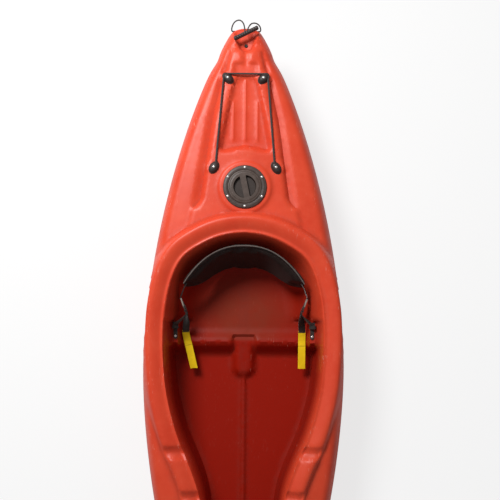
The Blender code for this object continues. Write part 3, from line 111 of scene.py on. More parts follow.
POMMEL_SKIRT = 0.030
POMMEL_REACH = 0.090
SEAT_NOTCH_HALF = 0.046
WELL_LENGTH = 0.240
WELL_REAR = 0.196 - LENGTH / 2
WELL_FRONT = WELL_REAR + WELL_LENGTH
WELL_REAR_HALF = 0.036
WELL_FRONT_HALF = 0.082
WELL_REAR_FLOOR = 0.270
WELL_FRONT_FLOOR = 0.260
WELL_DRAFT = 1.4
RIB_HALF = 0.0045
RIB_HEIGHT = 0.004
SIDE_RIB_Y = 0.043
SIDE_RIB_LENGTH = 0.140
RECESS_FLOOR = 0.252
RECESS_LENGTH = 0.090
RECESS_HALF = 0.046
RECESS_NARROW = 0.018
RECESS_DRAFT = 2.5
TERRACE_FLOOR = 0.276
TERRACE_HALF = 0.040
TERRACE_LENGTH = 0.040
GUTTER_HALF = 0.007
CHANNEL_DEPTH = 0.013
CHANNEL_SLOPE = 0.45
CHANNEL_WALL_SLOPE = 1.8
CHANNEL_FRONT = COCKPIT_REAR - 0.087
BOW_CHANNEL_REAR = COCKPIT_FRONT + 0.110
HATCH_X = COCKPIT_REAR - 0.162
HATCH_SEAT = 0.288
HATCH_BORE = 0.056
BOSS_RADIUS = 0.089
BOSS_DRAFT = 0.7
EYE_SEAT = 0.027
REAR_EYE = (WELL_REAR + 0.003, 0.090 * BEAM)
FRONT_EYE = (HATCH_X - 0.070, 0.155 * BEAM)
SOLID_TIP = 0.045
HALF_LENGTH = LENGTH / 2
CREASE_MARGIN = 0.004
RELIEF_PITCH = 0.0025
RELIEF_SOFTNESS = 0.0024
RED = (0.68, 0.064, 0.025)
FULL_MARK_BULGE = 0.0022
SHADE_TOP = 0.250
SHADE_RUN = 0.105
SEAT_SHADE_SPAN = (0.150, 0.190)


def half_beam(x):
    """Half the beam at a station: the flank curve, cut by the arc of the blunt end."""
    reach = np.clip(np.abs(x) / (HALF_LENGTH + FLANK_REACH), 0, 1)
    flank = BEAM / 2 * (1 - reach**FLANK_POWER) ** FLANK_FULLNESS
    along = (np.abs(x) - HALF_LENGTH + TIP_RADIUS) / TIP_RADIUS
    arc = TIP_RADIUS * np.sqrt(np.clip(np.where(along < 0, 1 + 4 * along**2, 1 - along**2), 1e-12, None))
    return (flank**-10 + arc**-10) ** -0.1


def gunwale_outline(per_quarter):
    """The boat's outline in plan, with its points closer together round the ends."""
    share = np.arange(per_quarter) / per_quarter
    x = HALF_LENGTH * (1 - (1 - share) ** 2)
    quarter = np.column_stack([x, half_beam(x)])
    tip = np.array([[HALF_LENGTH, 0.0]])
    upper = np.vstack([quarter, tip])
    lower = quarter[:0:-1] * (1, -1)
    bow = np.vstack([upper, lower])
    stern = np.vstack([quarter[:1] * (1, -1), (quarter[1:] * (-1, -1)), tip * (-1, 1)])
    back = quarter[:0:-1] * (-1, 1)
    return np.vstack([bow, stern, back])


def smooth_curve(points, steps, closed=False):
    """A curve through the points (Catmull-Rom), with this many steps between each two."""
    points = np.asarray(points, float)
    count = len(points)
    spans = count if closed else count - 1
    result = []
    for i in range(spans):
        if closed:
            p0, p1, p2, p3 = (points[(i + k) % count] for k in (-1, 0, 1, 2))
        else:
            p1, p2 = points[i], points[i + 1]
            p0 = points[i - 1] if i else 2 * p1 - p2
            p3 = points[i + 2] if i + 2 < count else 2 * p2 - p1
        for t in np.arange(steps) / steps:
            result.append(
                p1
                + 0.5 * t * (p2 - p0)
                + t**2 * (p0 - 2.5 * p1 + 2 * p2 - 0.5 * p3)
                + t**3 * (1.5 * (p1 - p2) + 0.5 * (p3 - p0))
            )
    if not closed:
        result.append(points[-1])
    return np.array(result)


def eased(points, rounds=2):
    """A line with its corners cut, so that it bends gently and never swings past its points."""
    points = np.asarray(points, float)
    for _ in range(rounds):
        start, end = points[:-1], points[1:]
        cut = np.stack([0.75 * start + 0.25 * end, 0.25 * start + 0.75 * end], axis=1)
        cut = cut.reshape(-1, points.shape[1])
        points = np.vstack([points[:1], cut[1:-1], points[-1:]])
    return points


def mirrored(half):
    """A closed outline from its port half, which starts and ends on the centre line."""
    half = np.asarray(half, float)
    return np.vstack([half, half[-2:0:-1] * (1, -1)])


def cockpit_outline(steps):
    """The inner edge of the cockpit rim: wide round the seat, narrow at the feet."""
    rear, front = COCKPIT_REAR, COCKPIT_FRONT
    half = (
        (rear, 0.0),
        (rear + 0.011, 0.285),
        (rear + 0.040, 0.534),
        (rear + 0.085, 0.762),
        (rear + 0.150, 0.893),
        (rear + 0.240, 0.972),
        (rear + 0.330, 1.0),
        (rear + 0.430, 0.993),
        (rear + 0.565, 0.940),
        (rear + 0.700, 0.808),
        (rear + 0.830, 0.612),
        (rear + 0.915, 0.516),
        (front - 0.230, 0.463),
        (front - 0.110, 0.406),
        (front - 0.035, 0.302),
        (front - 0.004, 0.142),
        (front, 0.0),
    )
    return smooth_curve(mirrored(half), steps, closed=True) * (1, COCKPIT_HALF)


def well_outline(steps):
    """The floor of the storage well, hollow towards the round hatch seat at its front."""
    rear = smooth_curve(
        [(WELL_REAR, 0), (WELL_REAR + 0.004, WELL_REAR_HALF * 0.7), (WELL_REAR + 0.014, WELL_REAR_HALF)],
        steps,
    )
    front = smooth_curve(
        [
            (WELL_FRONT + 0.008, WELL_FRONT_HALF),
            (WELL_FRONT + 0.016, WELL_FRONT_HALF - 0.006),
            (WELL_FRONT + 0.010, WELL_FRONT_HALF * 0.6),
            (WELL_FRONT, 0),
        ],
        steps,
    )
    side = np.linspace(rear[-1], front[0], 7)[1:-1]
    return mirrored(np.vstack([rear, side, front]))


def recess_outline(steps):
    """The V-shaped recess in the deck at an end, drawn at the bow and open over the tip."""
    inner = HALF_LENGTH - RECESS_LENGTH
    half = [(inner, 0), (inner + 0.002, RECESS_NARROW * 0.6), (inner + 0.009, RECESS_NARROW)]
    curve = smooth_curve(half, steps)
    corner = (HALF_LENGTH + 0.02, RECESS_HALF + 0.008)
    side = np.linspace(curve[-1], corner, 3 * steps)[1:]
    return mirrored(np.vstack([curve, side, [(HALF_LENGTH + 0.02, 0)]]))


def rectangle(x0, x1, half):
    return np.array([(x0, 0), (x0, half), (x1, half), (x1, 0), (x1, -half), (x0, -half)], float)


def channel_edges(steps):
    """The outer and the inner edge of the stern deck's port channel, stern end first."""
    stations = [WELL_REAR + reach for reach in (-0.106, -0.074, 0.113, 0.187)] + [HATCH_X + 0.012]
    outer = list(zip(stations, (0.0873, 0.1099, 0.1845, 0.2056, 0.2563)))
    inner = list(zip(stations, (0.0817, 0.0845, 0.1451, 0.1648, 0.2070)))
    outer.append((CHANNEL_FRONT, 0.2676))
    inner += [(CHANNEL_FRONT - 0.025, 0.2197), (CHANNEL_FRONT - 0.006, 0.2423)]
    return smooth_curve(outer, steps) * (1, BEAM), smooth_curve(inner, steps) * (1, BEAM)


def bow_channel_edges(steps):
    """The bow deck's port channel: the forward part of the stern's, turned to face ahead."""
    rear = -BOW_CHANNEL_REAR
    outer, inner = channel_edges(steps)
    kept_outer = outer[outer[:, 0] < rear] * (-1, 1)
    kept_inner = inner[inner[:, 0] < rear - 0.006] * (-1, 1)
    last = (kept_outer[-1] + kept_inner[-1]) / 2
    return kept_outer, np.vstack([kept_inner, last + (-0.008, 0.004)])


def signed_distance(points, outline):
    """How far each plan point lies inside a closed outline, negative outside it."""
    result = np.empty(len(points))
    start = outline
    along = np.roll(outline, -1, axis=0) - start
    length = np.maximum((along**2).sum(axis=1), 1e-18)
    for first in range(0, len(points), 4000):
        part = points[first : first + 4000]
        apart = part[:, None, :] - start[None]
        share = np.clip((apart * along).sum(axis=2) / length, 0, 1)
        gap = np.hypot(*np.moveaxis(apart - share[..., None] * along, 2, 0)).min(axis=1)
        above = part[:, 1:2] >= start[:, 1]
        crossing = above != (part[:, 1:2] >= (start + along)[:, 1])
        rise = np.where(along[:, 1] == 0, 1e-18, along[:, 1])
        reach = start[:, 0] + (part[:, 1:2] - start[:, 1]) / rise * along[:, 0]
        inside = (crossing & (part[:, 0:1] < reach)).sum(axis=1) % 2 == 1
        result[first : first + 4000] = np.where(inside, gap, -gap)
    return result


def line_distance(points, line):
    """How far each plan point lies from an open line."""
    line = np.asarray(line, float)
    start, along = line[:-1], np.diff(line, axis=0)
    length = np.maximum((along**2).sum(axis=1), 1e-18)
    apart = points[:, None, :] - start[None]
    share = np.clip((apart * along).sum(axis=2) / length, 0, 1)
    return np.hypot(*np.moveaxis(apart - share[..., None] * along, 2, 0)).min(axis=1)


def ramp(value, start, end):
    """0 before start, 1 after end, smooth between."""
    share = np.clip((value - start) / (end - start), 0, 1)
    return share * share * (3 - 2 * share)


def gunwale_height(x):
    return SIDE_HEIGHT + SHEER * (np.abs(x) / HALF_LENGTH) ** 2


def rim_height(x):
    """The rim dips beside the seat and rises to both ends of the cockpit."""
    run = np.where(x < RIM_LOW_X, RIM_LOW_X - COCKPIT_REAR, COCKPIT_FRONT - RIM_LOW_X)
    return RIM_HEIGHT + RIM_RISE * np.clip((x - RIM_LOW_X) / run, -1.1, 1.1) ** 2


def seats():
    """Flat round seats of the four deck eyes: place and radius."""
    return [
        (x, y * side, radius)
        for side in (1, -1)
        for (x, y), radius in ((REAR_EYE, EYE_SEAT - 0.004), (FRONT_EYE, EYE_SEAT))
    ]


def spine_outline():
    """The raised middle of the stern deck, between the channels and on to the cockpit rim."""
    inner = channel_edges(6)[1]
    front = [(CHANNEL_FRONT, 0.265 * BEAM), (COCKPIT_REAR, 0.289 * BEAM), (COCKPIT_REAR, 0)]
    return mirrored(np.vstack([(inner[0, 0], 0), inner, front]))


OUTLINES = {
    "gunwale": gunwale_outline(50),
    "cockpit": cockpit_outline(8),
    "well": well_outline(8),
    "recess": recess_outline(8),
    "spine": spine_outline(),
}


def floor_height(points):
    """Height of the footwell floor, the seat, its benches and its pommel."""
    x, y = points[:, 0], points[:, 1]
    across = np.abs(y)
    foot = FOOT_FLOOR + FOOT_FLOOR_RISE * np.clip(x / COCKPIT_FRONT, 0, 1) ** 2
    rib = 1 - ramp(across, FLOOR_RIB_HALF * 0.5, FLOOR_RIB_HALF)
    rib = rib * (1 - ramp(x, FLOOR_RIB_END, FLOOR_RIB_END + 0.02))
    pan = SEAT_PAN + SEAT_LIP * ramp(x, SEAT_FRONT - 0.050, SEAT_FRONT)
    notch = 1 - ramp(across, SEAT_NOTCH_HALF - 0.008, SEAT_NOTCH_HALF)
    notch = notch * ramp(x, SEAT_FRONT - 0.026, SEAT_FRONT - 0.016)
    pan = pan - 0.8 * SEAT_LIP * notch
    front = ramp(x, SEAT_FRONT, SEAT_FRONT + SEAT_FRONT_RUN)
    floor = pan * (1 - front) + (foot + FLOOR_RIB_HEIGHT * rib) * front
    core = line_distance(points, [(SEAT_FRONT, 0), (SEAT_FRONT + POMMEL_REACH, 0)])
    skirt = 1 - ramp(core, POMMEL_HALF, POMMEL_HALF + POMMEL_SKIRT)
    pommel = foot + (POMMEL_HEIGHT - 0.1 * (x - SEAT_FRONT) - foot) * skirt
    floor = np.where(x > SEAT_FRONT, np.maximum(floor, pommel), floor)
    bench_rear = SEAT_FRONT - BENCH_LENGTH + 0.006
    bench = ramp(across, BENCH_INNER - 0.008, BENCH_INNER)
    bench = bench * ramp(x, bench_rear - 0.012, bench_rear)
    bench = bench * (1 - ramp(x, SEAT_FRONT + 0.006, SEAT_FRONT + 0.030))
    return floor + (BENCH_HEIGHT - floor) * bench


def roll_profile(outward_distance):
    """Height of the rolled rim over its lip, from the lip out to the crease against the deck."""
    stations = (0.0, 0.003, 0.009, 0.020, 0.034, 0.047, 0.058, 0.066, 0.075, 0.100)
    heights = (0.0, -0.0005, -0.004, 0.001, 0.0065, ROLL_CREST, 0.006, -0.006, -0.026, -0.10)
    profile = smooth_curve(list(zip(stations, heights)), 6)
    return np.interp(outward_distance, profile[:, 0], profile[:, 1])


def plain_deck(points):
    """The deck without its features: rounded shoulders, a low crown and the raised spine."""
    x = points[:, 0]
    inset = signed_distance(points, OUTLINES["gunwale"])
    shoulder = 1 - np.clip(1 - inset / SHOULDER_WIDTH, 0, None) ** 2.6
    crown = 1 - np.exp(-np.clip(inset - SHOULDER_WIDTH, 0, None) / CROWN_WIDTH)
    rise = SHOULDER_RISE - SHOULDER_DROP * (np.abs(x) / HALF_LENGTH) ** 2
    spine = ramp(signed_distance(points, OUTLINES["spine"]), 0, 0.006)
    return gunwale_height(x) + rise * shoulder + CROWN_RISE * crown + SPINE_RISE * spine


def deck_height(points):
    """Height of the hull's upper side at each plan point, gunwale to gunwale."""
    x, y = points[:, 0], points[:, 1]
    across = np.abs(y)
    deck = plain_deck(points)
    folded = np.column_stack([x, across])

    # Channels of the stern and bow decks: a broad slope inboard, then a steep wall
    for edges in (channel_edges(6), bow_channel_edges(6)):
        outer, inner = edges
        inside = signed_distance(folded, np.vstack([outer, inner[::-1]]))
        slope = CHANNEL_SLOPE * line_distance(folded, outer)
        wall = CHANNEL_WALL_SLOPE * line_distance(folded, inner)
        depth = np.clip(np.minimum(slope, wall), 0, CHANNEL_DEPTH)
        deck = deck - np.where(inside > 0, depth, 0)

    # Storage well, terrace, gutters and end recesses: each is a level floor with sloping walls
    well = signed_distance(points, OUTLINES["well"])
    share = np.clip((x - WELL_REAR) / (WELL_FRONT - WELL_REAR), 0, 1)
    well_floor = WELL_REAR_FLOOR + (WELL_FRONT_FLOOR - WELL_REAR_FLOOR) * share
    for segment in rib_lines():
        ridge = 1 - ramp(line_distance(points, segment), RIB_HALF * 0.3, RIB_HALF)
        well_floor = well_floor + RIB_HEIGHT * ridge
    deck = np.minimum(deck, well_floor + WELL_DRAFT * np.clip(-well, 0, None))
    terrace = signed_distance(points, terrace_outline())
    deck = np.minimum(deck, TERRACE_FLOOR + WELL_DRAFT * np.clip(-terrace, 0, None))
    gutter = signed_distance(points, gutter_outline())
    deck = np.minimum(deck, TERRACE_FLOOR - 0.001 + RECESS_DRAFT * np.clip(-gutter, 0, None))
    recess = signed_distance(np.column_stack([np.abs(x), y]), OUTLINES["recess"])
    deck = np.minimum(deck, RECESS_FLOOR + RECESS_DRAFT * np.clip(-recess, 0, None))

    # Round hatch seat, raised and level
    from_hatch = np.hypot(x - HATCH_X, y)
    deck = np.maximum(deck, HATCH_SEAT - BOSS_DRAFT * np.clip(from_hatch - BOSS_RADIUS, 0, None))

    # Cockpit: rolled rim outside its lip, walls and floor inside it
    inside = signed_distance(points, OUTLINES["cockpit"])
    rim = rim_height(x)
    height = np.maximum(deck, rim + roll_profile(np.clip(-inside, 0, None)))
    floor = floor_height(points)
    bowl = 1 - ramp(x, SEAT_FRONT - BENCH_LENGTH - 0.010, SEAT_FRONT - BENCH_LENGTH + 0.010)
    wall_run = FOOT_WALL + (SEAT_BOWL - FOOT_WALL) * bowl
    power = 1.6 + 0.6 * bowl
    fall = (1 - np.clip((inside - LIP_RADIUS / 2) / wall_run, 0, 1)) ** power
    height = np.where(inside > 0, floor + (rim - floor) * fall, height)

    # Foot notches across the roll
    for station in notch_stations():
        along = 1 - np.clip((np.abs(x - station) - 0.002) / NOTCH_HALF, 0, 1) ** 1.5
        ends = ramp(inside, -ROLL_WIDTH + 0.004, -ROLL_WIDTH + 0.016) * (inside < LIP_RADIUS)
        height = height - NOTCH_DEPTH * along * ends

    # Flat seats of the fittings
    for seat_x, seat_y, radius in seats():
        away = np.hypot(x - seat_x, y - seat_y)
        flat = 1 - ramp(away, radius, radius * 1.25)
        height = height + (seat_level(seat_x, seat_y) - height) * flat
    return height


def seat_level(x, y):
    """The plain deck's height under a fitting."""
    return float(plain_deck(np.array([(x, y)]))[0])


def rib_lines():
    rear = WELL_REAR + 0.006
    front = WELL_FRONT - 0.014
    return [
        [(rear, 0), (front, 0)],
        [(front - SIDE_RIB_LENGTH, SIDE_RIB_Y), (front, SIDE_RIB_Y)],
        [(front - SIDE_RIB_LENGTH, -SIDE_RIB_Y), (front, -SIDE_RIB_Y)],
    ]


def terrace_outline():
    return rectangle(WELL_REAR - 0.012 - TERRACE_LENGTH, WELL_REAR - 0.006, TERRACE_HALF)


def gutter_outline():
    return rectangle(RECESS_LENGTH - HALF_LENGTH - 0.004, WELL_REAR - TERRACE_LENGTH, GUTTER_HALF)


def notch_stations():
    return [NOTCH_FIRST + i * NOTCH_SPACING for i in range(NOTCH_COUNT)]


def plain_bottom(points):
    """Height of the underside without its runners: rounded bilges, a flat bottom with rocker."""
    x = points[:, 0]
    inset = signed_distance(points, OUTLINES["gunwale"])
    rocker = ROCKER * np.clip((np.abs(x) - FLAT_HALF) / (HALF_LENGTH - FLAT_HALF), 0, 1) ** 2.2
    bottom = RUNNER_DEPTH + rocker
    share = 1 - np.clip(1 - inset / BILGE_WIDTH, 0, None) ** 2.4
    top = gunwale_height(x)
    return top - (top - bottom) * share


def bottom_height(points):
    """Height of the hull's underside at each plan point, with the keel and the side runners."""
    x, across = points[:, 0], np.abs(points[:, 1])
    keel = 1 - np.clip((across - RUNNER_HALF) / RUNNER_SIDE, 0, 1)
    keel = keel * (1 - ramp(np.abs(x), KEEL_END - 0.06, KEEL_END))
    side = 1 - np.clip((np.abs(across - SIDE_RUNNER_Y) - RUNNER_HALF) / RUNNER_SIDE, 0, 1)
    side = side * (1 - ramp(np.abs(x), SIDE_RUNNER_END, SIDE_RUNNER_END + 0.05))
    return plain_bottom(points) - RUNNER_DEPTH * np.maximum(keel, side)


def eroded(height, points, sign):
    """The same surface set back by the wall's thickness, down for the deck and up for the bottom."""
    around = [height(points) - sign * WALL]
    for turn in np.arange(8) * math.tau / 8:
        for lean in (math.pi / 4, math.pi / 2):
            reach = WALL * math.sin(lean) * np.array([math.cos(turn), math.sin(turn)])
            around.append(height(points + reach) - sign * WALL * math.cos(lean))
    stack = np.array(around)
    return stack.min(axis=0) if sign > 0 else stack.max(axis=0)


def offset_outline(outline, distance):
    """A closed outline moved outwards by a distance, inwards where it is negative."""
    ahead = np.roll(outline, -1, axis=0) - np.roll(outline, 1, axis=0)
    ahead = ahead / np.maximum(np.hypot(*ahead.T), 1e-12)[:, None]
    normal = np.column_stack([ahead[:, 1], -ahead[:, 0]])
    x, y = outline.T
    area = 0.5 * np.sum(x * np.roll(y, -1) - y * np.roll(x, -1))
    return outline + normal * distance * np.sign(area)


def closed_edges(outline, distance, keep=lambda p: np.ones(len(p), bool)):
    """Creases along an offset of an outline, only where it is still that far from the outline."""
    line = offset_outline(outline, distance)
    true_distance = -signed_distance(line, outline)
    good = np.abs(true_distance - distance) < 0.12 * abs(distance) + 1e-4
    good &= keep(line)
    pieces, run = [], []
    for i in list(range(len(line))) + [0]:
        if good[i]:
            run.append(line[i])
        elif run:
            pieces.append(np.array(run))
            run = []
    if run:
        pieces.append(np.array(run))
    return pieces


def straight(start, end, parts):
    return np.linspace(start, end, parts + 1)


def both_sides(line):
    line = np.asarray(line, float)
    return [line, line * (1, -1)]


def circle(x, y, radius, count):
    turn = np.arange(count + 1) * math.tau / count
    return np.column_stack([x + radius * np.cos(turn), y + radius * np.sin(turn)])


def form_creases(rim_offsets, seat_offsets, gunwale_offsets, set_back):
    """The plan lines where the deck's main forms bend, set back for the inner side of the wall."""
    lines = []
    rim = cockpit_outline(2 if set_back else 3)
    for distance in rim_offsets:
        lines += closed_edges(rim, distance)
    for distance in seat_offsets:
        lines += closed_edges(rim[::2], distance, lambda p: p[:, 0] < SEAT_FRONT - BENCH_LENGTH - 0.01)
    for distance in gunwale_offsets:
        lines += closed_edges(gunwale_outline(18), distance)
    steps = (set_back, set_back + 0.012) if set_back == 0 else (-0.003, set_back, set_back + 0.012)
    for distance in steps:
        for outline in (recess_outline(3) * (-1, 1), recess_outline(3), well_outline(3)):
            lines += closed_edges(outline, distance)
    for outline in (terrace_outline(), gutter_outline()):
        for distance in steps[:-1]:
            lines += closed_edges(outline, distance)
    for outer, inner in (channel_edges(3), bow_channel_edges(3)):
        foot = inner + (0, CHANNEL_DEPTH / CHANNEL_WALL_SLOPE)
        foot = foot[foot[:, 1] < np.interp(foot[:, 0], *sorted_line(outer)) - 0.002]
        for line in (outer, inner, foot):
            lines += both_sides(line)
    lines += floor_creases()
    for station in notch_stations():
        lip = np.interp(station, *sorted_line(cockpit_port_side()))
        for shift in (-NOTCH_HALF - 0.002, 0, NOTCH_HALF + 0.002):
            lines += both_sides(straight((station + shift, lip), (station + shift, lip + ROLL_WIDTH), 5))
    return lines


def cavity_creases():
    """The same main forms seen from inside the hollow."""
    lines = form_creases(
        (0.081, 0.070, 0.060, 0.040, 0.014, 0.006, 0.0, -0.006, -0.012, -0.020),
        (-0.045, -0.070, -0.110),
        (-0.020, -0.050),
        WALL,
    )
    lines.append(circle(HATCH_X, 0, BOSS_RADIUS - 0.004, 16))
    lines.append(circle(HATCH_X, 0, BOSS_RADIUS + 0.014, 16))
    recess = HALF_LENGTH - RECESS_LENGTH + 0.004
    lines += [straight((recess * end, 0), ((recess + 0.016) * end, 0), 2) for end in (-1, 1)]
    return lines


def sorted_line(line):
    order = np.argsort(line[:, 0])
    return line[order, 0], line[order, 1]


def cockpit_port_side():
    rim = OUTLINES["cockpit"]
    return rim[rim[:, 1] > 0]


def floor_creases():
    """Plan lines of the seat front, the benches, the pommel and the floor rib."""
    lines = []
    half = BENCH_INNER - 0.010
    for x in (SEAT_FRONT - 0.050, SEAT_FRONT - 0.010, SEAT_FRONT, SEAT_FRONT + 0.020, SEAT_FRONT + 0.055):
        lines.append(straight((x, -half), (x, half), 10))
    rear = SEAT_FRONT - BENCH_LENGTH + 0.004
    for y in (BENCH_INNER - 0.009, BENCH_INNER + 0.001):
        lines += both_sides(straight((rear, y), (SEAT_FRONT + 0.006, y), 3))
    for x in (rear - 0.012, rear, rear + 0.012):
        lines += both_sides(straight((x, BENCH_INNER - 0.080), (x, RIM_EDGE), 5))
    front = SEAT_FRONT + 0.030
    lines += both_sides(straight((front, BENCH_INNER - 0.009), (front, RIM_EDGE), 2))
    for y in (FLOOR_RIB_HALF * 0.5, FLOOR_RIB_HALF):
        start = SEAT_FRONT + POMMEL_REACH + POMMEL_HALF + POMMEL_SKIRT
        lines += both_sides(straight((start, y), (FLOOR_RIB_END, y), 8))
    for radius in (POMMEL_HALF, POMMEL_HALF + POMMEL_SKIRT / 2, POMMEL_HALF + POMMEL_SKIRT):
        turn = np.linspace(-math.pi / 2, math.pi / 2, 9)
        centre = SEAT_FRONT + POMMEL_REACH
        arc = np.column_stack([centre + radius * np.cos(turn), radius * np.sin(turn)])
        lines.append(np.vstack([(SEAT_FRONT + 0.02, -radius), arc, (SEAT_FRONT + 0.02, radius)]))
    return lines


def cavity_bottom_creases():
    lines = []
    for distance in (-0.020, -0.045, -0.085, -0.120):
        lines += closed_edges(gunwale_outline(12), distance)
    return lines


def relief_map():
    """The deck's height on a fine grid of the port half, its creases softened as a mould does."""
    x = np.arange(-HALF_LENGTH - 0.02, HALF_LENGTH + 0.02, RELIEF_PITCH)
    y = np.arange(0, BEAM / 2 + 0.02, RELIEF_PITCH)
    plan = np.stack(np.meshgrid(x, y, indexing="ij"), axis=-1).reshape(-1, 2)
    soft = deck_height(plan).reshape(len(x), len(y))
    spread = np.arange(-4, 5) * RELIEF_PITCH
    weights = np.exp(-0.5 * (spread / RELIEF_SOFTNESS) ** 2)
    weights = weights / weights.sum()
    for axis in (0, 1):
        before = soft[:, 4:0:-1] if axis else soft[4:0:-1]
        after = soft[:, -2:-6:-1] if axis else soft[-2:-6:-1]
        padded = np.concatenate([before, soft, after], axis=axis)
        count = soft.shape[axis]
        soft = sum(w * np.take(padded, np.arange(k, k + count), axis=axis) for k, w in enumerate(weights))
    return x[0], soft


relief_start, soft_relief = relief_map()


def read_map(values, points):
    """A grid's value at each plan point, the starboard side from the port one."""
    across = (points[:, 0] - relief_start) / RELIEF_PITCH
    along = np.abs(points[:, 1]) / RELIEF_PITCH
    i = np.clip(across.astype(int), 0, values.shape[0] - 2)
    j = np.clip(along.astype(int), 0, values.shape[1] - 2)
    u, v = across - i, along - j
    rear = values[i, j] * (1 - v) + values[i, j + 1] * v
    front = values[i + 1, j] * (1 - v) + values[i + 1, j + 1] * v
    return rear * (1 - u) + front * u


def fine_lines(lines, pitch):
    """Plan lines with points closer together than a pitch."""
    result = []
    for line in lines:
        fine = [line[:1]]
        for start, end in zip(line, line[1:]):
            parts = max(1, math.ceil(np.hypot(*(end - start)) / pitch))
            fine.append(np.linspace(start, end, parts + 1)[1:])
        result.append(np.vstack(fine))
    return result


def fine_sheet(boundary, lines, height, fill):
    """A dense triangulated sheet inside a boundary, with edges along plan lines, lifted to its height."""
    points = [tuple(p) for p in boundary]
    edges = [(i, (i + 1) % len(points)) for i in range(len(points))]
    for line in lines:
        previous = None
        for point, room in zip(line, signed_distance(line, boundary)):
            if room < CREASE_MARGIN:
                previous = None
                continue
            points.append(tuple(point))
            if previous is not None:
                edges.append((previous, len(points) - 1))
            previous = len(points) - 1
    taken = KDTree(len(points))
    for i, point in enumerate(points):
        taken.insert((*point, 0), i)
    taken.balance()
    x = np.arange(-HALF_LENGTH, HALF_LENGTH, fill)
    y = np.arange(-BEAM / 2, BEAM / 2, fill)
    spots = np.array([(a, b + fill / 2 * (k % 2)) for k, a in enumerate(x) for b in y])
    spots = spots[signed_distance(spots, boundary) > fill / 3]
    points += [tuple(spot) for spot in spots if taken.find((*spot, 0))[2] > fill / 2]
    loop = [list(range(len(boundary)))]
    flat, _, faces, *_ = delaunay_2d_cdt([Vector(p) for p in points], edges, loop, 1, 1e-5)
    plan = np.array([tuple(p) for p in flat])
    return plan, height(plan), faces


def shell(name, boundary, edge_height, top, bottom):
    """A closed solid of an upper and a lower sheet that share their boundary."""
    mesh_data = bmesh.new()
    rim = {tuple(np.round(p, 5)): z for p, z in zip(boundary, edge_height)}
    shared = {}
    for plan, heights, faces, flip in (top + (False,), bottom + (True,)):
        verts = []
        for point, z in zip(plan, heights):
            key = tuple(np.round(point, 5))
            if key in rim and key not in shared:
                shared[key] = mesh_data.verts.new((*point, rim[key]))
            verts.append(shared[key] if key in rim else mesh_data.verts.new((*point, z)))
        for face in faces:
            corners = [verts[i] for i in face]
            mesh_data.faces.new(corners[::-1] if flip else corners)
    return piece(name, mesh_data)


def piece(name, mesh_data, smooth=40):
    """Turns a bmesh into an object with its faces outward and its round forms smooth."""
    bmesh.ops.recalc_face_normals(mesh_data, faces=mesh_data.faces)
    if mesh_data.calc_volume(signed=True) < 0:
        bmesh.ops.reverse_faces(mesh_data, faces=mesh_data.faces)
    mesh = bpy.data.meshes.new(name)
    mesh_data.to_mesh(mesh)
    mesh_data.free()
    obj = bpy.data.objects.new(name, mesh)
    bpy.context.scene.collection.objects.link(obj)
    mesh.shade_smooth()
    mesh.set_sharp_from_angle(angle=math.radians(smooth))
    return obj


def settled(obj, smooth=40):
    """The object with its modifiers worked into its mesh."""
    made = bpy.data.meshes.new_from_object(obj.evaluated_get(bpy.context.evaluated_depsgraph_get()))
    obj.modifiers.clear()
    obj.data = made
    made.shade_smooth()
    made.set_sharp_from_angle(angle=math.radians(smooth))
    return obj


def cut(obj, tool, operation="DIFFERENCE"):
    """Cuts with, or joins to, another object, which is then gone."""
    modifier = obj.modifiers.new(tool.name, "BOOLEAN")
    modifier.operation = operation
    modifier.object = tool
    settled(obj)
    bpy.data.objects.remove(tool, do_unlink=True)
    return obj


def rod(mesh_data, place, radius, height, sides=20):
    """An upright round bar."""
    bmesh.ops.create_cone(
        mesh_data,
        cap_ends=True,
        segments=sides,
        radius1=radius,
        radius2=radius,
        depth=height,
        matrix=Matrix.Translation(place),
    )


def drills(spots):
    """Upright round cutters at (x, y, z, radius, depth), in one object."""
    mesh_data = bmesh.new()
    for x, y, z, radius, depth in spots:
        rod(mesh_data, (x, y, z), radius, depth, 64 if radius > 0.01 else 16)
    return piece("drills", mesh_data)


def finish(name, colour, roughness, **sockets):
    """A new finish: its material, its shader node and a quick way to add and join nodes."""
    made = bpy.data.materials.new(name)
    made.use_nodes = True
    shader = made.node_tree.nodes["Principled BSDF"]
    shader.inputs["Base Color"].default_value = (*colour, 1)
    shader.inputs["Roughness"].default_value = roughness
    for socket, value in sockets.items():
        shader.inputs[socket.replace("_", " ")].default_value = value

    def add(kind, **inputs):
        node = made.node_tree.nodes.new("ShaderNode" + kind)
        for key, value in inputs.items():
            key = key.replace("_", " ")
            if key in ("operation", "attribute name", "data type"):
                setattr(node, key.replace(" ", "_"), value)
                continue
            socket = next(s for s in node.inputs if s.name == key and s.enabled)
            if isinstance(value, bpy.types.NodeSocket):
                made.node_tree.links.new(value, socket)
            else:
                socket.default_value = value
        return node

    def join(output, socket):
        made.node_tree.links.new(output, shader.inputs[socket])

    return made, add, join


def math_node(add, operation, first, second):
    node = add("Math", operation=operation)
    for socket, value in zip(node.inputs, (first, second)):
        if isinstance(value, bpy.types.NodeSocket):
            node.id_data.links.new(value, socket)
        else:
            socket.default_value = value
    return node.outputs[0]


def times(add, first, second):
    return math_node(add, "MULTIPLY", first, second)


def plus(add, first, second):
    return math_node(add, "ADD", first, second)


def noise(add, place, scale, detail, roughness=0.5):
    node = add("TexNoise", Vector=place, Scale=scale, Detail=detail, Roughness=roughness)
    return node.outputs[0]


def blended(add, share, first, second):
    """A colour between two, by a share; each is a colour or a socket."""
    node = add("Mix", data_type="RGBA")
    for index, value in ((0, share), (6, first), (7, second)):
        if isinstance(value, bpy.types.NodeSocket):
            node.id_data.links.new(value, node.inputs[index])
        else:
            node.inputs[index].default_value = value if index == 0 else (*value, 1)
    return node.outputs[2]


